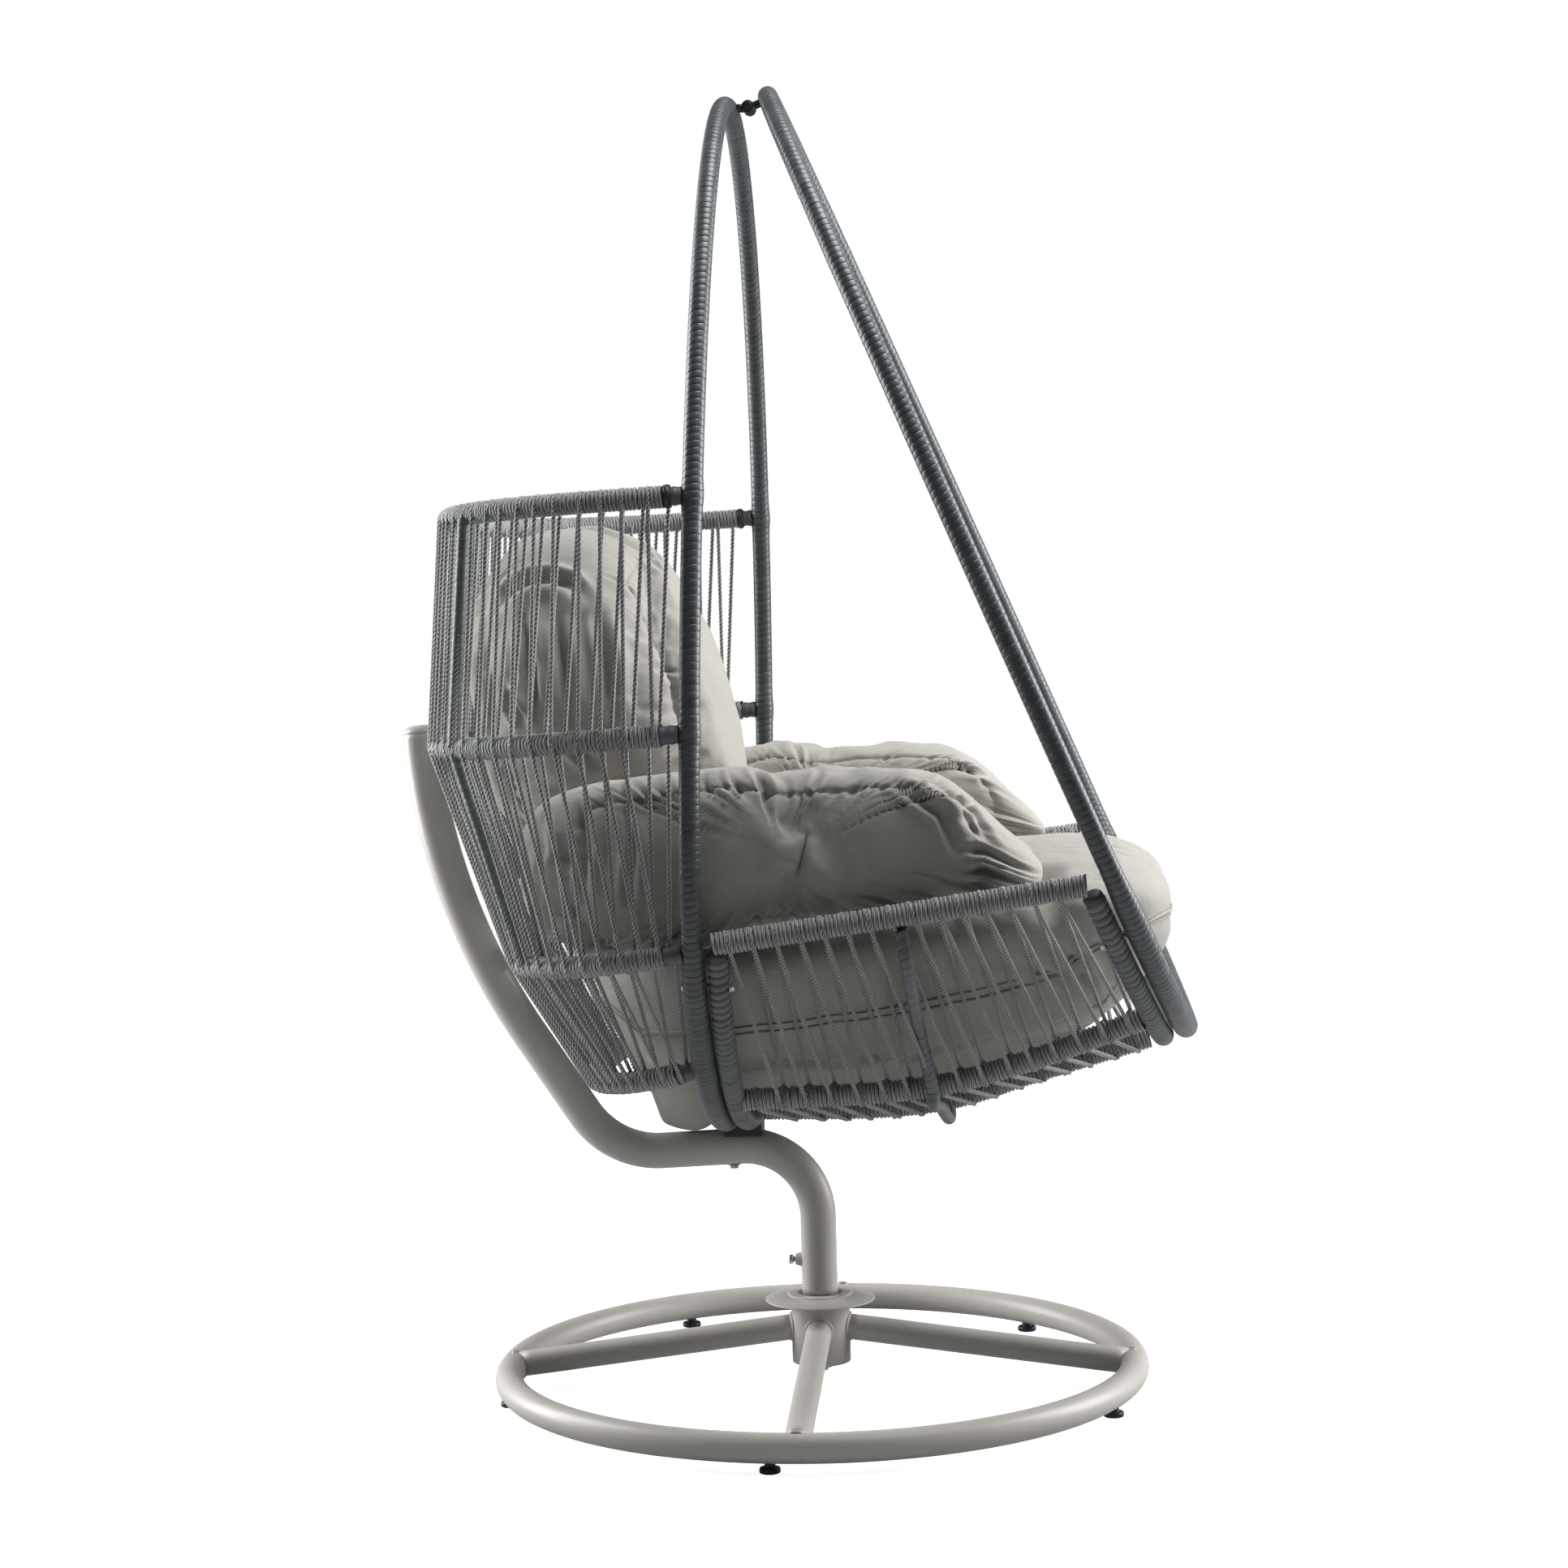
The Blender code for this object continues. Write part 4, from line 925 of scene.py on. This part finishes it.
def make_post():
    route = even(bent_route([place(f, 0, z) for f, z in POST_CORNERS], POST_BENDS, 40), 0.008)
    post = Piece()
    post.add(*swept(route, POST_TUBE, 40, False, (1, 0, 0)))
    boss = [(0.0001, 0.0), (0.0125, 0.0), (0.0108, 0.0042), (0.0088, 0.0118), (0.0082, 0.0124),
            (0.0001, 0.0124)]
    post.add(*lathe(rounded(boss, 0.0008), 40, facing(place(-0.0240, 0, SET_BOLT_Z), (0, 1, 0))))
    post.make("post_bend", POWDER, "chair", "powder_coat", "post_tube")
    along = unit(route[0] - route[3])
    cap = Piece()
    dome = [(0.0262, -0.0002), (0.0270, 0.0010), (0.0275, 0.0016), (0.0272, 0.0030), (0.0256, 0.0060),
            (0.0215, 0.0092), (0.0150, 0.0115), (0.0070, 0.0124), (0.0001, 0.0126)]
    cap.add(*lathe(rounded(dome, 0.002), 64, facing(route[0], along)))
    cap.make("post_cap_dome", POWDER, "chair", "powder_coat", "post_cap")

    set_bolt = Piece()
    hex_head(set_bolt, place(-0.0400, 0, SET_BOLT_Z), (0, 1, 0), 0.0074, 0.0062)
    stem = [(0.0001, -0.004), (0.0042, -0.004), (0.0042, 0.0035), (0.0001, 0.0035)]
    set_bolt.add(*lathe(stem, 20, facing(place(-0.0364, 0, SET_BOLT_Z), (0, 1, 0))))
    set_bolt.make("set_bolt_head", STEEL, "chair", "steel", "set_bolt")


def make_fixings():
    """Bolts and the hinge."""
    z = BACK_RINGS["middle_ring"][1]
    upper = Piece()
    hex_head(upper, place(-0.5240, 0, z), (0, -1, 0), 0.0075, 0.0055, 0.0095)
    hex_head(upper, place(-0.5565, 0, z), (0, 1, 0), 0.0078, 0.0060, 0.0105)
    upper.make("upper_bolt", STEEL, "chair", "steel", "upper_mount_bolt")
    f_hoop = egg_at(False, REAR_WIDEST[1] - HOOP_LOWER)[0]
    lower = Piece()
    hex_head(lower, place(f_hoop, 0, 0.3466), (0, 0, -1), 0.0075, 0.0052, 0.0100)
    lower.make("lower_bolt", STEEL, "chair", "steel", "lower_mount_bolt")

    for label, front, z, offset in (("rear", False, SEAT_BOLT_REAR_Z, REAR_U_OFFSET),
                                    ("front", True, SEAT_BOLT_FRONT_Z, FRONT_U_OFFSET)):
        f, w = egg_at(front, z)
        lean = hoop_plane(front)[2]
        inward = np.array((0, -math.cos(lean), -math.sin(lean))) * math.copysign(1, offset)
        for side, sign in (("left", -1), ("right", 1)):
            seat = place(f, w * sign, z)
            piece = Piece()
            start = seat + inward * (abs(offset) + 0.0145)
            hex_head(piece, start, inward, 0.0072, 0.0048, 0.0092)
            piece.add(*swept(np.array((seat + inward * 0.012, start)), 0.0042, 16, False))
            if not front:
                hex_head(piece, seat - inward * 0.0150, -inward, 0.0066, 0.0035)
            piece.make(f"bolt_{label}_{side}", STEEL, "chair", "steel", f"seat_bolt_{label}_{side}")

    axis = place(HINGE[0], 0, HINGE[1])
    rear_top, front_top = egg_point(False, PI / 2), egg_point(True, PI / 2)
    side = np.array((1.0, 0, 0))
    ears = Piece()
    for sign in (-1, 1):
        plate = [(0.0046, 0.0), (0.0095, 0.0), (0.0095, 0.0075), (0.0046, 0.0075), (0.0046, 0.0)]
        foot = axis + side * sign * (0.0121 if sign > 0 else 0.0196)
        ears.add(*lathe(rounded(plate, 0.0012), 48, facing(foot, (1, 0, 0))))
        link = even(np.array((axis + side * sign * 0.0158 + unit(rear_top - axis) * 0.0088,
                              rear_top + side * sign * 0.0120)), 0.004)
        ears.add(*swept(link, 0.0040, 16, False))
    ears.make("hinge_ears", BLACK, "chair", "black_steel", "rear_hinge_ears")
    pin = Piece()
    hex_head(pin, axis + side * 0.0200, (1, 0, 0), 0.0066, 0.0045, 0.0082)
    hex_head(pin, axis - side * 0.0200, (-1, 0, 0), 0.0066, 0.0045, 0.0082)
    pin.add(*swept(np.array((axis - side * 0.0195, axis + side * 0.0195)), 0.0040, 20, False))
    pin.make("hinge_pin", BLACK, "chair", "black_steel", "hinge_bolt")
    barrel = Piece()
    tube = [(0.0046, -0.0114), (0.0095, -0.0114), (0.0095, 0.0114), (0.0046, 0.0114), (0.0046, -0.0114)]
    barrel.add(*lathe(rounded(tube, 0.0012), 48, facing(axis, (1, 0, 0))))
    link = even(np.array((axis + unit(front_top - axis) * 0.0085, front_top)), 0.004)
    barrel.add(*swept(link, 0.0062, 20, False))
    barrel.make("hinge_barrel", BLACK, "front_frame", "black_steel", "front_hinge_barrel")


# ---- cushions ---------------------------------------------------------------------------
def skin(nx, ny, nz):
    """The skin of a box as a grid: places from -1 to 1 and quads."""
    index, places, quads = {}, [], []

    def vertex(i, j, k):
        key = (i, j, k)
        if key not in index:
            index[key] = len(places)
            places.append((2 * i / nx - 1, 2 * j / ny - 1, 2 * k / nz - 1))
        return index[key]

    for i in range(nx):
        for j in range(ny):
            quads.append([vertex(i, j, 0), vertex(i, j + 1, 0), vertex(i + 1, j + 1, 0), vertex(i + 1, j, 0)])
            quads.append([vertex(i, j, nz), vertex(i + 1, j, nz),
                          vertex(i + 1, j + 1, nz), vertex(i, j + 1, nz)])
    for i in range(nx):
        for k in range(nz):
            quads.append([vertex(i, 0, k), vertex(i + 1, 0, k), vertex(i + 1, 0, k + 1), vertex(i, 0, k + 1)])
            quads.append([vertex(i, ny, k), vertex(i, ny, k + 1),
                          vertex(i + 1, ny, k + 1), vertex(i + 1, ny, k)])
    for j in range(ny):
        for k in range(nz):
            quads.append([vertex(0, j, k), vertex(0, j, k + 1), vertex(0, j + 1, k + 1), vertex(0, j + 1, k)])
            quads.append([vertex(nx, j, k), vertex(nx, j + 1, k),
                          vertex(nx, j + 1, k + 1), vertex(nx, j, k + 1)])
    return np.array(places), np.array(quads)


def cradle_half_width(f, z):
    rear_f, rear_w = egg_at(False, z)
    front_f, front_w = egg_at(True, z)
    share = clamp((f - rear_f) / (front_f - rear_f))
    return rear_w + (front_w - rear_w) * share


def seat_shape(u, v, w):
    f = 0.115 + 0.445 * u
    t = (u + 1) / 2
    rise = 0.075 - 0.030 * clamp((t - 0.60) / 0.30)
    floor = keel_height(f) + 0.030 + rise * abs(v) ** 1.5 + 0.06 * max(0.0, t - 0.86)
    floor += 0.068 * clamp((-0.235 - f) / 0.055)
    crown = 0.735 + 0.115 * t
    beside = 0.722 + 0.070 * (f + 0.391) / 0.77
    step = clamp((abs(v) - 0.60) / 0.10) * clamp((0.42 - f) / 0.03)
    top = crown + (beside - crown) * step
    z = floor + (top - floor) * (w + 1) / 2
    basket = 1 - 0.30 * max(0.0, -0.45 - u) ** 2 / 0.3
    width = (cradle_half_width(f, max(z, 0.47)) - 0.042) * basket
    sag = max(0.0, 1 - ((u + 0.76) / 0.20) ** 4) * max(0.0, -w) * max(0.0, 1 - (v / 0.50) ** 2)
    return place(f - 0.035 * max(0.0, w) ** 2 * t, v * width, z - 0.070 * sag)


def arm_shape(sign):
    def shape(u, v, w):
        f = -0.006 + 0.385 * u - 0.020 * min(0.0, u) ** 2
        t = (u + 1) / 2
        turn_in = 0.085 * max(0.0, 0.45 - t) ** 2 / 0.2
        ahead = f - 0.24
        bottom = 0.730 + 0.070 * t + 0.020 * max(0.0, 0.3 - t)
        bottom -= (0.024 + 0.022 * t) * clamp(v + 0.2) + 0.045 * clamp((0.45 - t) / 0.2)
        top = 0.985 - 0.45 * (ahead + math.sqrt(ahead ** 2 + 0.0009))
        thick = 0.096 - 0.070 * max(0.0, 0.32 - t)
        return place(f, sign * (0.412 - turn_in + thick * v), bottom + (top - bottom) * (w + 1) / 2)
    return shape


def back_shape(u, v, w):
    t = (w + 1) / 2
    taper = 1 - 0.20 * max(0.0, t - 0.45) ** 2 / 0.3
    width = 0.255 + 0.033 * clamp((t - 0.30) / 0.20)
    depth = 0.170 + 0.060 * t - 0.105 * t ** 2
    return place(-0.264 - 0.098 * t ** 1.3 + depth * u, width * v * taper, 1.060 + 0.284 * w)


def cushion(name, node, cuts, power, shape, seams, cap, slack, gather, creases=(), seed=0.0):
    """A stuffed cover: its form is inflated as cloth with its seams gathered, made finer and creased."""
    places, quads = skin(*cuts)
    size = (np.abs(places) ** power).sum(1) ** (1 / power)
    verts = np.array([shape(*p) for p in places / size[:, None]])
    middle = verts.mean(0)
    verts = middle + (verts - middle) * 0.985
    obj, mesh, normals = covered(name, verts, quads)
    rough = np.array([noise.noise(Vector(v) * 21 + Vector((seed, 0, 0))) for v in verts])
    verts = verts + normals * (0.0022 * rough)[:, None]
    mesh.vertices.foreach_set("co", verts.astype(np.float32).ravel())
    weights = seams(places)
    verts = inflated(obj, verts, weights, slack, gather, cap)
    verts = verts - normals * (0.0040 * weights)[:, None]
    mesh.vertices.foreach_set("co", verts.astype(np.float32).ravel())
    box = mesh.attributes.new("box", "FLOAT_VECTOR", "POINT")
    box.data.foreach_set("vector", places.astype(np.float32).ravel())
    obj.modifiers.new("finer", "SUBSURF").levels = 1
    graph = bpy.context.evaluated_depsgraph_get()
    finer = obj.evaluated_get(graph).to_mesh()
    points = read(finer.vertices, "co", 3)
    spots = read(finer.attributes["box"].data, "vector", 3)
    faces = read(finer.loops, "vertex_index", 1, np.int32).reshape(-1, 4)
    obj.evaluated_get(graph).to_mesh_clear()
    bpy.data.objects.remove(obj)
    obj, mesh, out = covered(name, points, faces)
    for crease in creases:
        points = points + out * crease(spots, points)[:, None]
    mesh.vertices.foreach_set("co", points.astype(np.float32).ravel())
    mesh.update()
    mesh.shade_smooth()
    mesh.materials.append(FABRIC)
    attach(obj, "chair")
    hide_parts(node)
    return places, verts, normals


def read(items, key, width, kind=np.float32):
    """A property of many items as an array."""
    values = np.empty(len(items) * width, kind)
    items.foreach_get(key, values)
    return values.reshape(-1, width).astype(float if kind is np.float32 else kind)


def covered(name, verts, quads):
    """An object made of points and quads, facing out, with its points' normals."""
    mesh = bpy.data.meshes.new(name)
    mesh.from_pydata(verts.tolist(), [], quads.tolist())
    mesh.update()
    normals = read(mesh.vertices, "normal", 3)
    if np.sum((verts - verts.mean(0)) * normals) < 0:
        mesh.flip_normals()
        normals = -normals
    obj = bpy.data.objects.new(name, mesh)
    bpy.context.scene.collection.objects.link(obj)
    return obj, mesh, normals


def inflated(obj, verts, weights, slack, gather, cap):
    """Where the cover's points lie after a short run as cloth under pressure."""
    group = obj.vertex_groups.new(name="seam")
    for index, weight in enumerate(weights):
        group.add([index], float(weight), "REPLACE")
    cloth = obj.modifiers.new("cloth", "CLOTH")
    settings = cloth.settings
    settings.quality = 4
    settings.mass = 0.25
    settings.tension_stiffness = settings.compression_stiffness = 14
    settings.shear_stiffness = 5
    settings.bending_stiffness = 0.25
    settings.use_pressure = True
    settings.uniform_pressure_force = 4.0
    settings.effector_weights.gravity = 0
    settings.vertex_group_shrink = "seam"
    settings.shrink_min = -slack
    settings.shrink_max = gather
    cloth.collision_settings.use_collision = False
    cloth.point_cache.frame_start = 1
    cloth.point_cache.frame_end = CLOTH_FRAMES + 2
    scene = bpy.context.scene
    for step in range(1, CLOTH_FRAMES + 1):
        scene.frame_set(step)
    graph = bpy.context.evaluated_depsgraph_get()
    settled = obj.evaluated_get(graph).to_mesh()
    moved = np.empty(len(verts) * 3, np.float32)
    settled.vertices.foreach_get("co", moved)
    obj.evaluated_get(graph).to_mesh_clear()
    obj.modifiers.remove(cloth)
    obj.vertex_groups.remove(group)
    scene.frame_set(1)
    shift = moved.reshape(-1, 3) - verts
    far = np.linalg.norm(shift, axis=1, keepdims=True)
    return verts + shift * np.minimum(1.0, cap / np.maximum(far, 1e-9))


def edge_weight(distance, width):
    return np.clip(1 - distance / width, 0, 1)


def along_noise(at, length, seed):
    """Smooth values from 0 to 1 that change over about a length."""
    return np.array([0.5 + 0.5 * noise.noise(Vector((a / length, seed, 0.37 * seed))) for a in at])


def puckers(axis, size, depth, reach, seed, faces=(-1, 1)):
    """Gathers that run off the seam round the faces across one axis of a cushion."""
    others = [i for i in range(3) if i != axis]
    half = np.array(size) / 2

    def crease(p, verts):
        a, b = p[:, others[0]], p[:, others[1]]
        most = np.maximum(np.maximum(np.abs(a), np.abs(b)), 1e-6)
        la, lb = half[others[0]], half[others[1]]
        ea, eb = a / most, b / most
        round_it = np.where(np.abs(ea) >= np.abs(eb), np.sign(ea) * (la + lb) + np.sign(ea) * eb * lb,
                            np.sign(eb) * 3 * (la + lb) - np.sign(eb) * ea * la)
        on_face = np.abs(p[:, axis]) > 0.999
        inside = np.minimum((1 - np.abs(a)) * la, (1 - np.abs(b)) * lb)
        far = np.where(on_face, inside, (1 - np.abs(p[:, axis])) * half[axis])
        out = np.zeros(len(p))
        for face in faces:
            near = np.sign(p[:, axis]) == face
            s = round_it + 3.7 * face
            drift = s + 0.9 * far * (along_noise(s, 0.11, seed + 2) - 0.5) * 2
            fine = 0.6 - np.abs(2 * along_noise(drift, 0.013, seed) - 1) * 2.6
            broad = 0.7 - np.abs(2 * along_noise(drift, 0.027, seed + 5) - 1) * 2.8
            strong = np.clip(2.6 * along_noise(s, 0.09, seed + 9) - 0.55, 0.15, 1.6)
            long = reach * np.clip(3.0 * along_noise(s, 0.035, seed + 7) - 0.7, 0.3, 1.35)
            fade = np.exp(-(far / long) ** 2)
            close = np.exp(-(far / (0.5 * long)) ** 2)
            ridge = 0.35 * np.clip(fine, -1, 1) * close + np.clip(broad, -1, 1) * fade
            out += near * (depth * strong * ridge - 0.0022 * np.exp(-(far / 0.004) ** 2))
        return out
    return crease


def folds(lines, flat, width, depth):
    """Sunk lines with a raised lip. lines are ((f, z), ...) seen from the side."""
    def crease(p, verts):
        at = np.stack([AXIS_Y - verts[:, 1], verts[:, 2]], -1)
        out = np.zeros(len(verts))
        for line in lines:
            best = np.full(len(verts), 9.0)
            side = np.zeros(len(verts))
            share = np.zeros(len(verts))
            for n, (a, b) in enumerate(zip(line, line[1:])):
                a, b = np.array(a), np.array(b)
                t = np.clip(((at - a) @ (b - a)) / ((b - a) @ (b - a)), 0, 1)
                gap = at - (a + t[:, None] * (b - a))
                d = np.hypot(gap[:, 0], gap[:, 1])
                cross = (b - a)[0] * gap[:, 1] - (b - a)[1] * gap[:, 0]
                closer = d < best
                best = np.where(closer, d, best)
                side = np.where(closer, np.sign(cross), side)
                share = np.where(closer, (n + t) / (len(line) - 1), share)
            taper = np.clip(np.sin(PI * np.clip(share, 0.02, 0.98)), 0, 1) ** 0.5
            sunk = -np.exp(-(best / width) ** 2)
            lip = 0.9 * np.exp(-((best * np.where(side > 0, 1, 1.6) - 2.1 * width) / (1.3 * width)) ** 2)
            out += (sunk + lip) * taper
        return depth * out * flat(p)
    return crease


def piping(name, line, radius=0.0020):
    """A corded seam along a closed line."""
    line = np.concatenate((line, line[:1]))
    piece = Piece()
    piece.add(*swept(even(line, 0.005)[:-1], radius, 8, True))
    piece.make(name, FABRIC, "chair", "cushion")


def seam_line(places, verts, normals, level, lift):
    """A closed line round a cushion's sides at a height in its box given by level(u)."""
    border = np.max(np.abs(places[:, :2]), axis=1) > 0.999
    columns = {}
    for index in np.nonzero(border)[0]:
        columns.setdefault((round(places[index, 0], 4), round(places[index, 1], 4)), []).append(index)
    line = []
    for u, v in sorted(columns, key=lambda c: math.atan2(c[1], c[0])):
        index = sorted(columns[(u, v)], key=lambda n: places[n, 2])
        skin_at = verts[index] + normals[index] * lift
        line.append([np.interp(level(u), places[index, 2], skin_at[:, c]) for c in range(3)])
    return np.array(line)


def make_cushions():
    def rim_seams(across, one, other):
        """Seams along the edges of the faces across an axis."""
        def seams(p):
            gap = np.abs(np.abs(p) - 1)
            return edge_weight(gap[:, across] + np.minimum(gap[:, one], gap[:, other]), 0.10)
        return seams

    def seat_seams(p):
        around = np.abs(p[:, 2] + 0.10) + 3 * (np.maximum(np.abs(p[:, 0]), np.abs(p[:, 1])) < 0.999)
        front = np.abs(np.abs(p[:, 1]) - 0.999) + np.abs(p[:, 2] - 1)
        return np.maximum(edge_weight(around, 0.12), 0.7 * edge_weight(front, 0.10))

    def outer_face(start, steep, sides=np.abs):
        """How far a place counts as on the cushion's side faces."""
        return lambda p: np.clip((sides(p[:, 1]) - start) * steep, 0, 1)

    seat_folds = (((-0.05, 0.545), (0.06, 0.525), (0.16, 0.555)),
                  ((0.34, 0.735), (0.40, 0.690), (0.42, 0.640)),
                  ((0.29, 0.700), (0.37, 0.665), (0.46, 0.660)),
                  ((0.10, 0.505), (0.20, 0.545), (0.30, 0.560)))
    places, verts, normals = cushion(
        "seat_cushion_cover", "seat_cushion", (60, 60, 20), 4.2, seat_shape, seat_seams, 0.010, 0.02, 0.08,
        (puckers(2, (0.89, 0.84, 0.26), 0.0035, 0.035, 3.0),
         folds(seat_folds, outer_face(0.80, 12), 0.008, 0.006)),
        seed=3.0)
    for number, turn in enumerate((-0.30, -0.21)):
        line = seam_line(places, verts, normals, lambda u: turn + 0.22 * u, 0.0016)
        piping(f"seat_seam_{number + 1}", line)
    arm_folds = [((f, 0.94), (f + 0.015, 0.87), (f + 0.005, 0.80)) for f in (-0.36, -0.29, -0.22)]
    arm_folds += [((f, 0.95), (f + 0.06, 0.91), (f + 0.08, 0.86)) for f in (0.16, 0.21)]
    for side, sign in (("left", -1), ("right", 1)):
        cushion(f"arm_cushion_{side}_cover", f"arm_cushion_{side}", (84, 22, 28), 2.9, arm_shape(sign),
                rim_seams(1, 2, 0), 0.016, 0.04, 0.14,
                (puckers(1, (0.77, 0.19, 0.23), 0.0125, 0.050, 5.0 + 2 * sign),
                 folds(arm_folds, outer_face(0.6, 6, np.array), 0.008, 0.007)),
                seed=5.0 + sign)
    arch = [(-0.36 + 0.07 * math.cos(a), 1.20 + 0.05 * math.sin(a)) for a in np.linspace(0.15, 0.90, 6) * PI]
    back_folds = [arch] + [((f, 1.19), (f + 0.015, 1.12), (f + 0.02, 1.05)) for f in (-0.39, -0.34, -0.28)]
    back_folds += [((f, 1.09 - n * 0.08), (f + 0.03, 1.04 - n * 0.06)) for n, f in enumerate((-0.42, -0.32))]
    cushion("back_cushion_cover", "back_cushion", (32, 52, 54), 3.0, back_shape, rim_seams(0, 1, 2),
            0.016, 0.04, 0.12,
            (puckers(0, (0.34, 0.56, 0.57), 0.0080, 0.050, 11.0),
             folds(back_folds, outer_face(0.70, 8), 0.009, 0.014)),
            seed=9.0)


# ---- metal that stays as it is ------------------------------------------------------------
def paint_nodes():
    # The lower saddle is given black steel so that it reads as the shade under the front frame.
    looks = {"swivel_spindle": STEEL, "spindle_nut": STEEL, "lower_bearing": NYLON, "upper_bearing": NYLON,
             "upper_saddle": STEEL, "lower_saddle": BLACK}
    for name, material in looks.items():
        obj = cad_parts[name]
        for slot in obj.material_slots:
            slot.material = material


# ---- studio -------------------------------------------------------------------------------
def make_studio():
    scene = bpy.context.scene
    scene.view_settings.view_transform = "Standard"
    world = bpy.data.worlds.new("studio")
    world.use_nodes = True
    tree = world.node_tree
    back = tree.nodes["Background"]
    back.inputs["Color"].default_value = (1, 1, 1, 1)
    back.inputs["Strength"].default_value = 0.045
    bright = tree.nodes.new("ShaderNodeBackground")
    bright.inputs["Color"].default_value = (1, 1, 1, 1)
    bright.inputs["Strength"].default_value = 1.0
    mix = tree.nodes.new("ShaderNodeMixShader")
    ray = tree.nodes.new("ShaderNodeLightPath")
    tree.links.new(ray.outputs["Is Camera Ray"], mix.inputs[0])
    tree.links.new(back.outputs[0], mix.inputs[1])
    tree.links.new(bright.outputs[0], mix.inputs[2])
    tree.links.new(mix.outputs[0], tree.nodes["World Output"].inputs["Surface"])
    scene.world = world

    mesh = bpy.data.meshes.new("floor")
    mesh.from_pydata([(-12, -12, -0.0006), (12, -12, -0.0006), (12, 12, -0.0006), (-12, 12, -0.0006)], [],
                     [(0, 1, 2, 3)])
    floor = bpy.data.objects.new("floor", mesh)
    scene.collection.objects.link(floor)
    pale = Look("floor_pale", (0.45, 0.45, 0.45), 0.9, Specular_IOR_Level=0.0)
    # The floor glows for camera rays only and glows less near the chair: painted shade round the base, so
    # that its shadows show, and white further out.
    glow = pale.node("ShaderNodeEmission", Color=(1, 1, 1, 1))
    seen = pale.node("ShaderNodeLightPath")
    away = pale.node("ShaderNodeVectorMath", operation="LENGTH")
    pale.put(pale.place(), away.inputs[0])
    level = pale.node("ShaderNodeMapRange")
    pale.put(away.outputs["Value"], level.inputs["Value"])
    for key, value in (("From Min", 0.8), ("From Max", 2.6), ("To Min", 0.90), ("To Max", 0.99)):
        level.inputs[key].default_value = value
    dim = pale.times(seen.outputs["Is Camera Ray"], level.outputs["Result"])
    pale.put(dim, glow.inputs["Strength"])
    both = pale.node("ShaderNodeAddShader")
    pale.put(pale.shader.outputs[0], both.inputs[0])
    pale.put(glow.outputs[0], both.inputs[1])
    pale.put(both.outputs[0], pale.tree.nodes["Material Output"].inputs["Surface"])
    mesh.materials.append(pale.material)

    def area(name, at, towards, size, power, colour=(1, 1, 1)):
        light = bpy.data.lights.new(name, "AREA")
        light.shape = "RECTANGLE"
        light.size, light.size_y = size
        light.energy = power
        light.color = colour
        obj = bpy.data.objects.new(name, light)
        obj.matrix_world = facing(at, np.array(at) - np.array(towards))
        scene.collection.objects.link(obj)

    aim = (0.0, 0.0, 0.9)
    area("behind_left", (0.7, 3.0, 1.7), aim, (1.5, 3.0), 190)
    area("behind_right", (0.8, -3.2, 1.9), aim, (1.5, 3.0), 180)
    area("over", (-0.35, -0.9, 3.9), aim, (1.5, 1.5), 92)
    area("front_low", (-4.6, 1.6, 1.6), aim, (2.0, 2.0), 4)


def make_camera():
    scene = bpy.context.scene
    distance, eye_height, lens = 4.682, 1.1793, 70.63
    psi, pitch, heading, roll = 0.0805, math.radians(3.0487), -0.007477, math.radians(-1.505)
    eye = place(distance * math.sin(psi), distance * math.cos(psi), eye_height)

    def model(f, w):
        return Vector((-w, -f, 0))

    right0 = model(math.cos(psi), -math.sin(psi))
    ahead0 = model(-math.sin(psi), -math.cos(psi))
    up0 = Vector((0, 0, 1))
    right = math.cos(heading) * right0 - math.sin(heading) * ahead0
    ahead = math.sin(heading) * right0 + math.cos(heading) * ahead0
    forward = math.cos(pitch) * ahead - math.sin(pitch) * up0
    up = math.sin(pitch) * ahead + math.cos(pitch) * up0
    right, up = (math.cos(roll) * right + math.sin(roll) * up, -math.sin(roll) * right + math.cos(roll) * up)
    data = bpy.data.cameras.new("camera")
    data.lens = lens
    data.sensor_width = 36
    data.clip_end = 60
    obj = bpy.data.objects.new("camera", data)
    turn = Matrix((right, up, -forward)).transposed().to_4x4()
    obj.matrix_world = Matrix.Translation(Vector(eye)) @ turn
    scene.collection.objects.link(obj)
    scene.camera = obj


make_camera()
make_hoops()
make_frames()
make_rings()
make_rails()
make_strung()
make_base()
make_hub()
make_post()
make_fixings()
make_cushions()
paint_nodes()
make_studio()
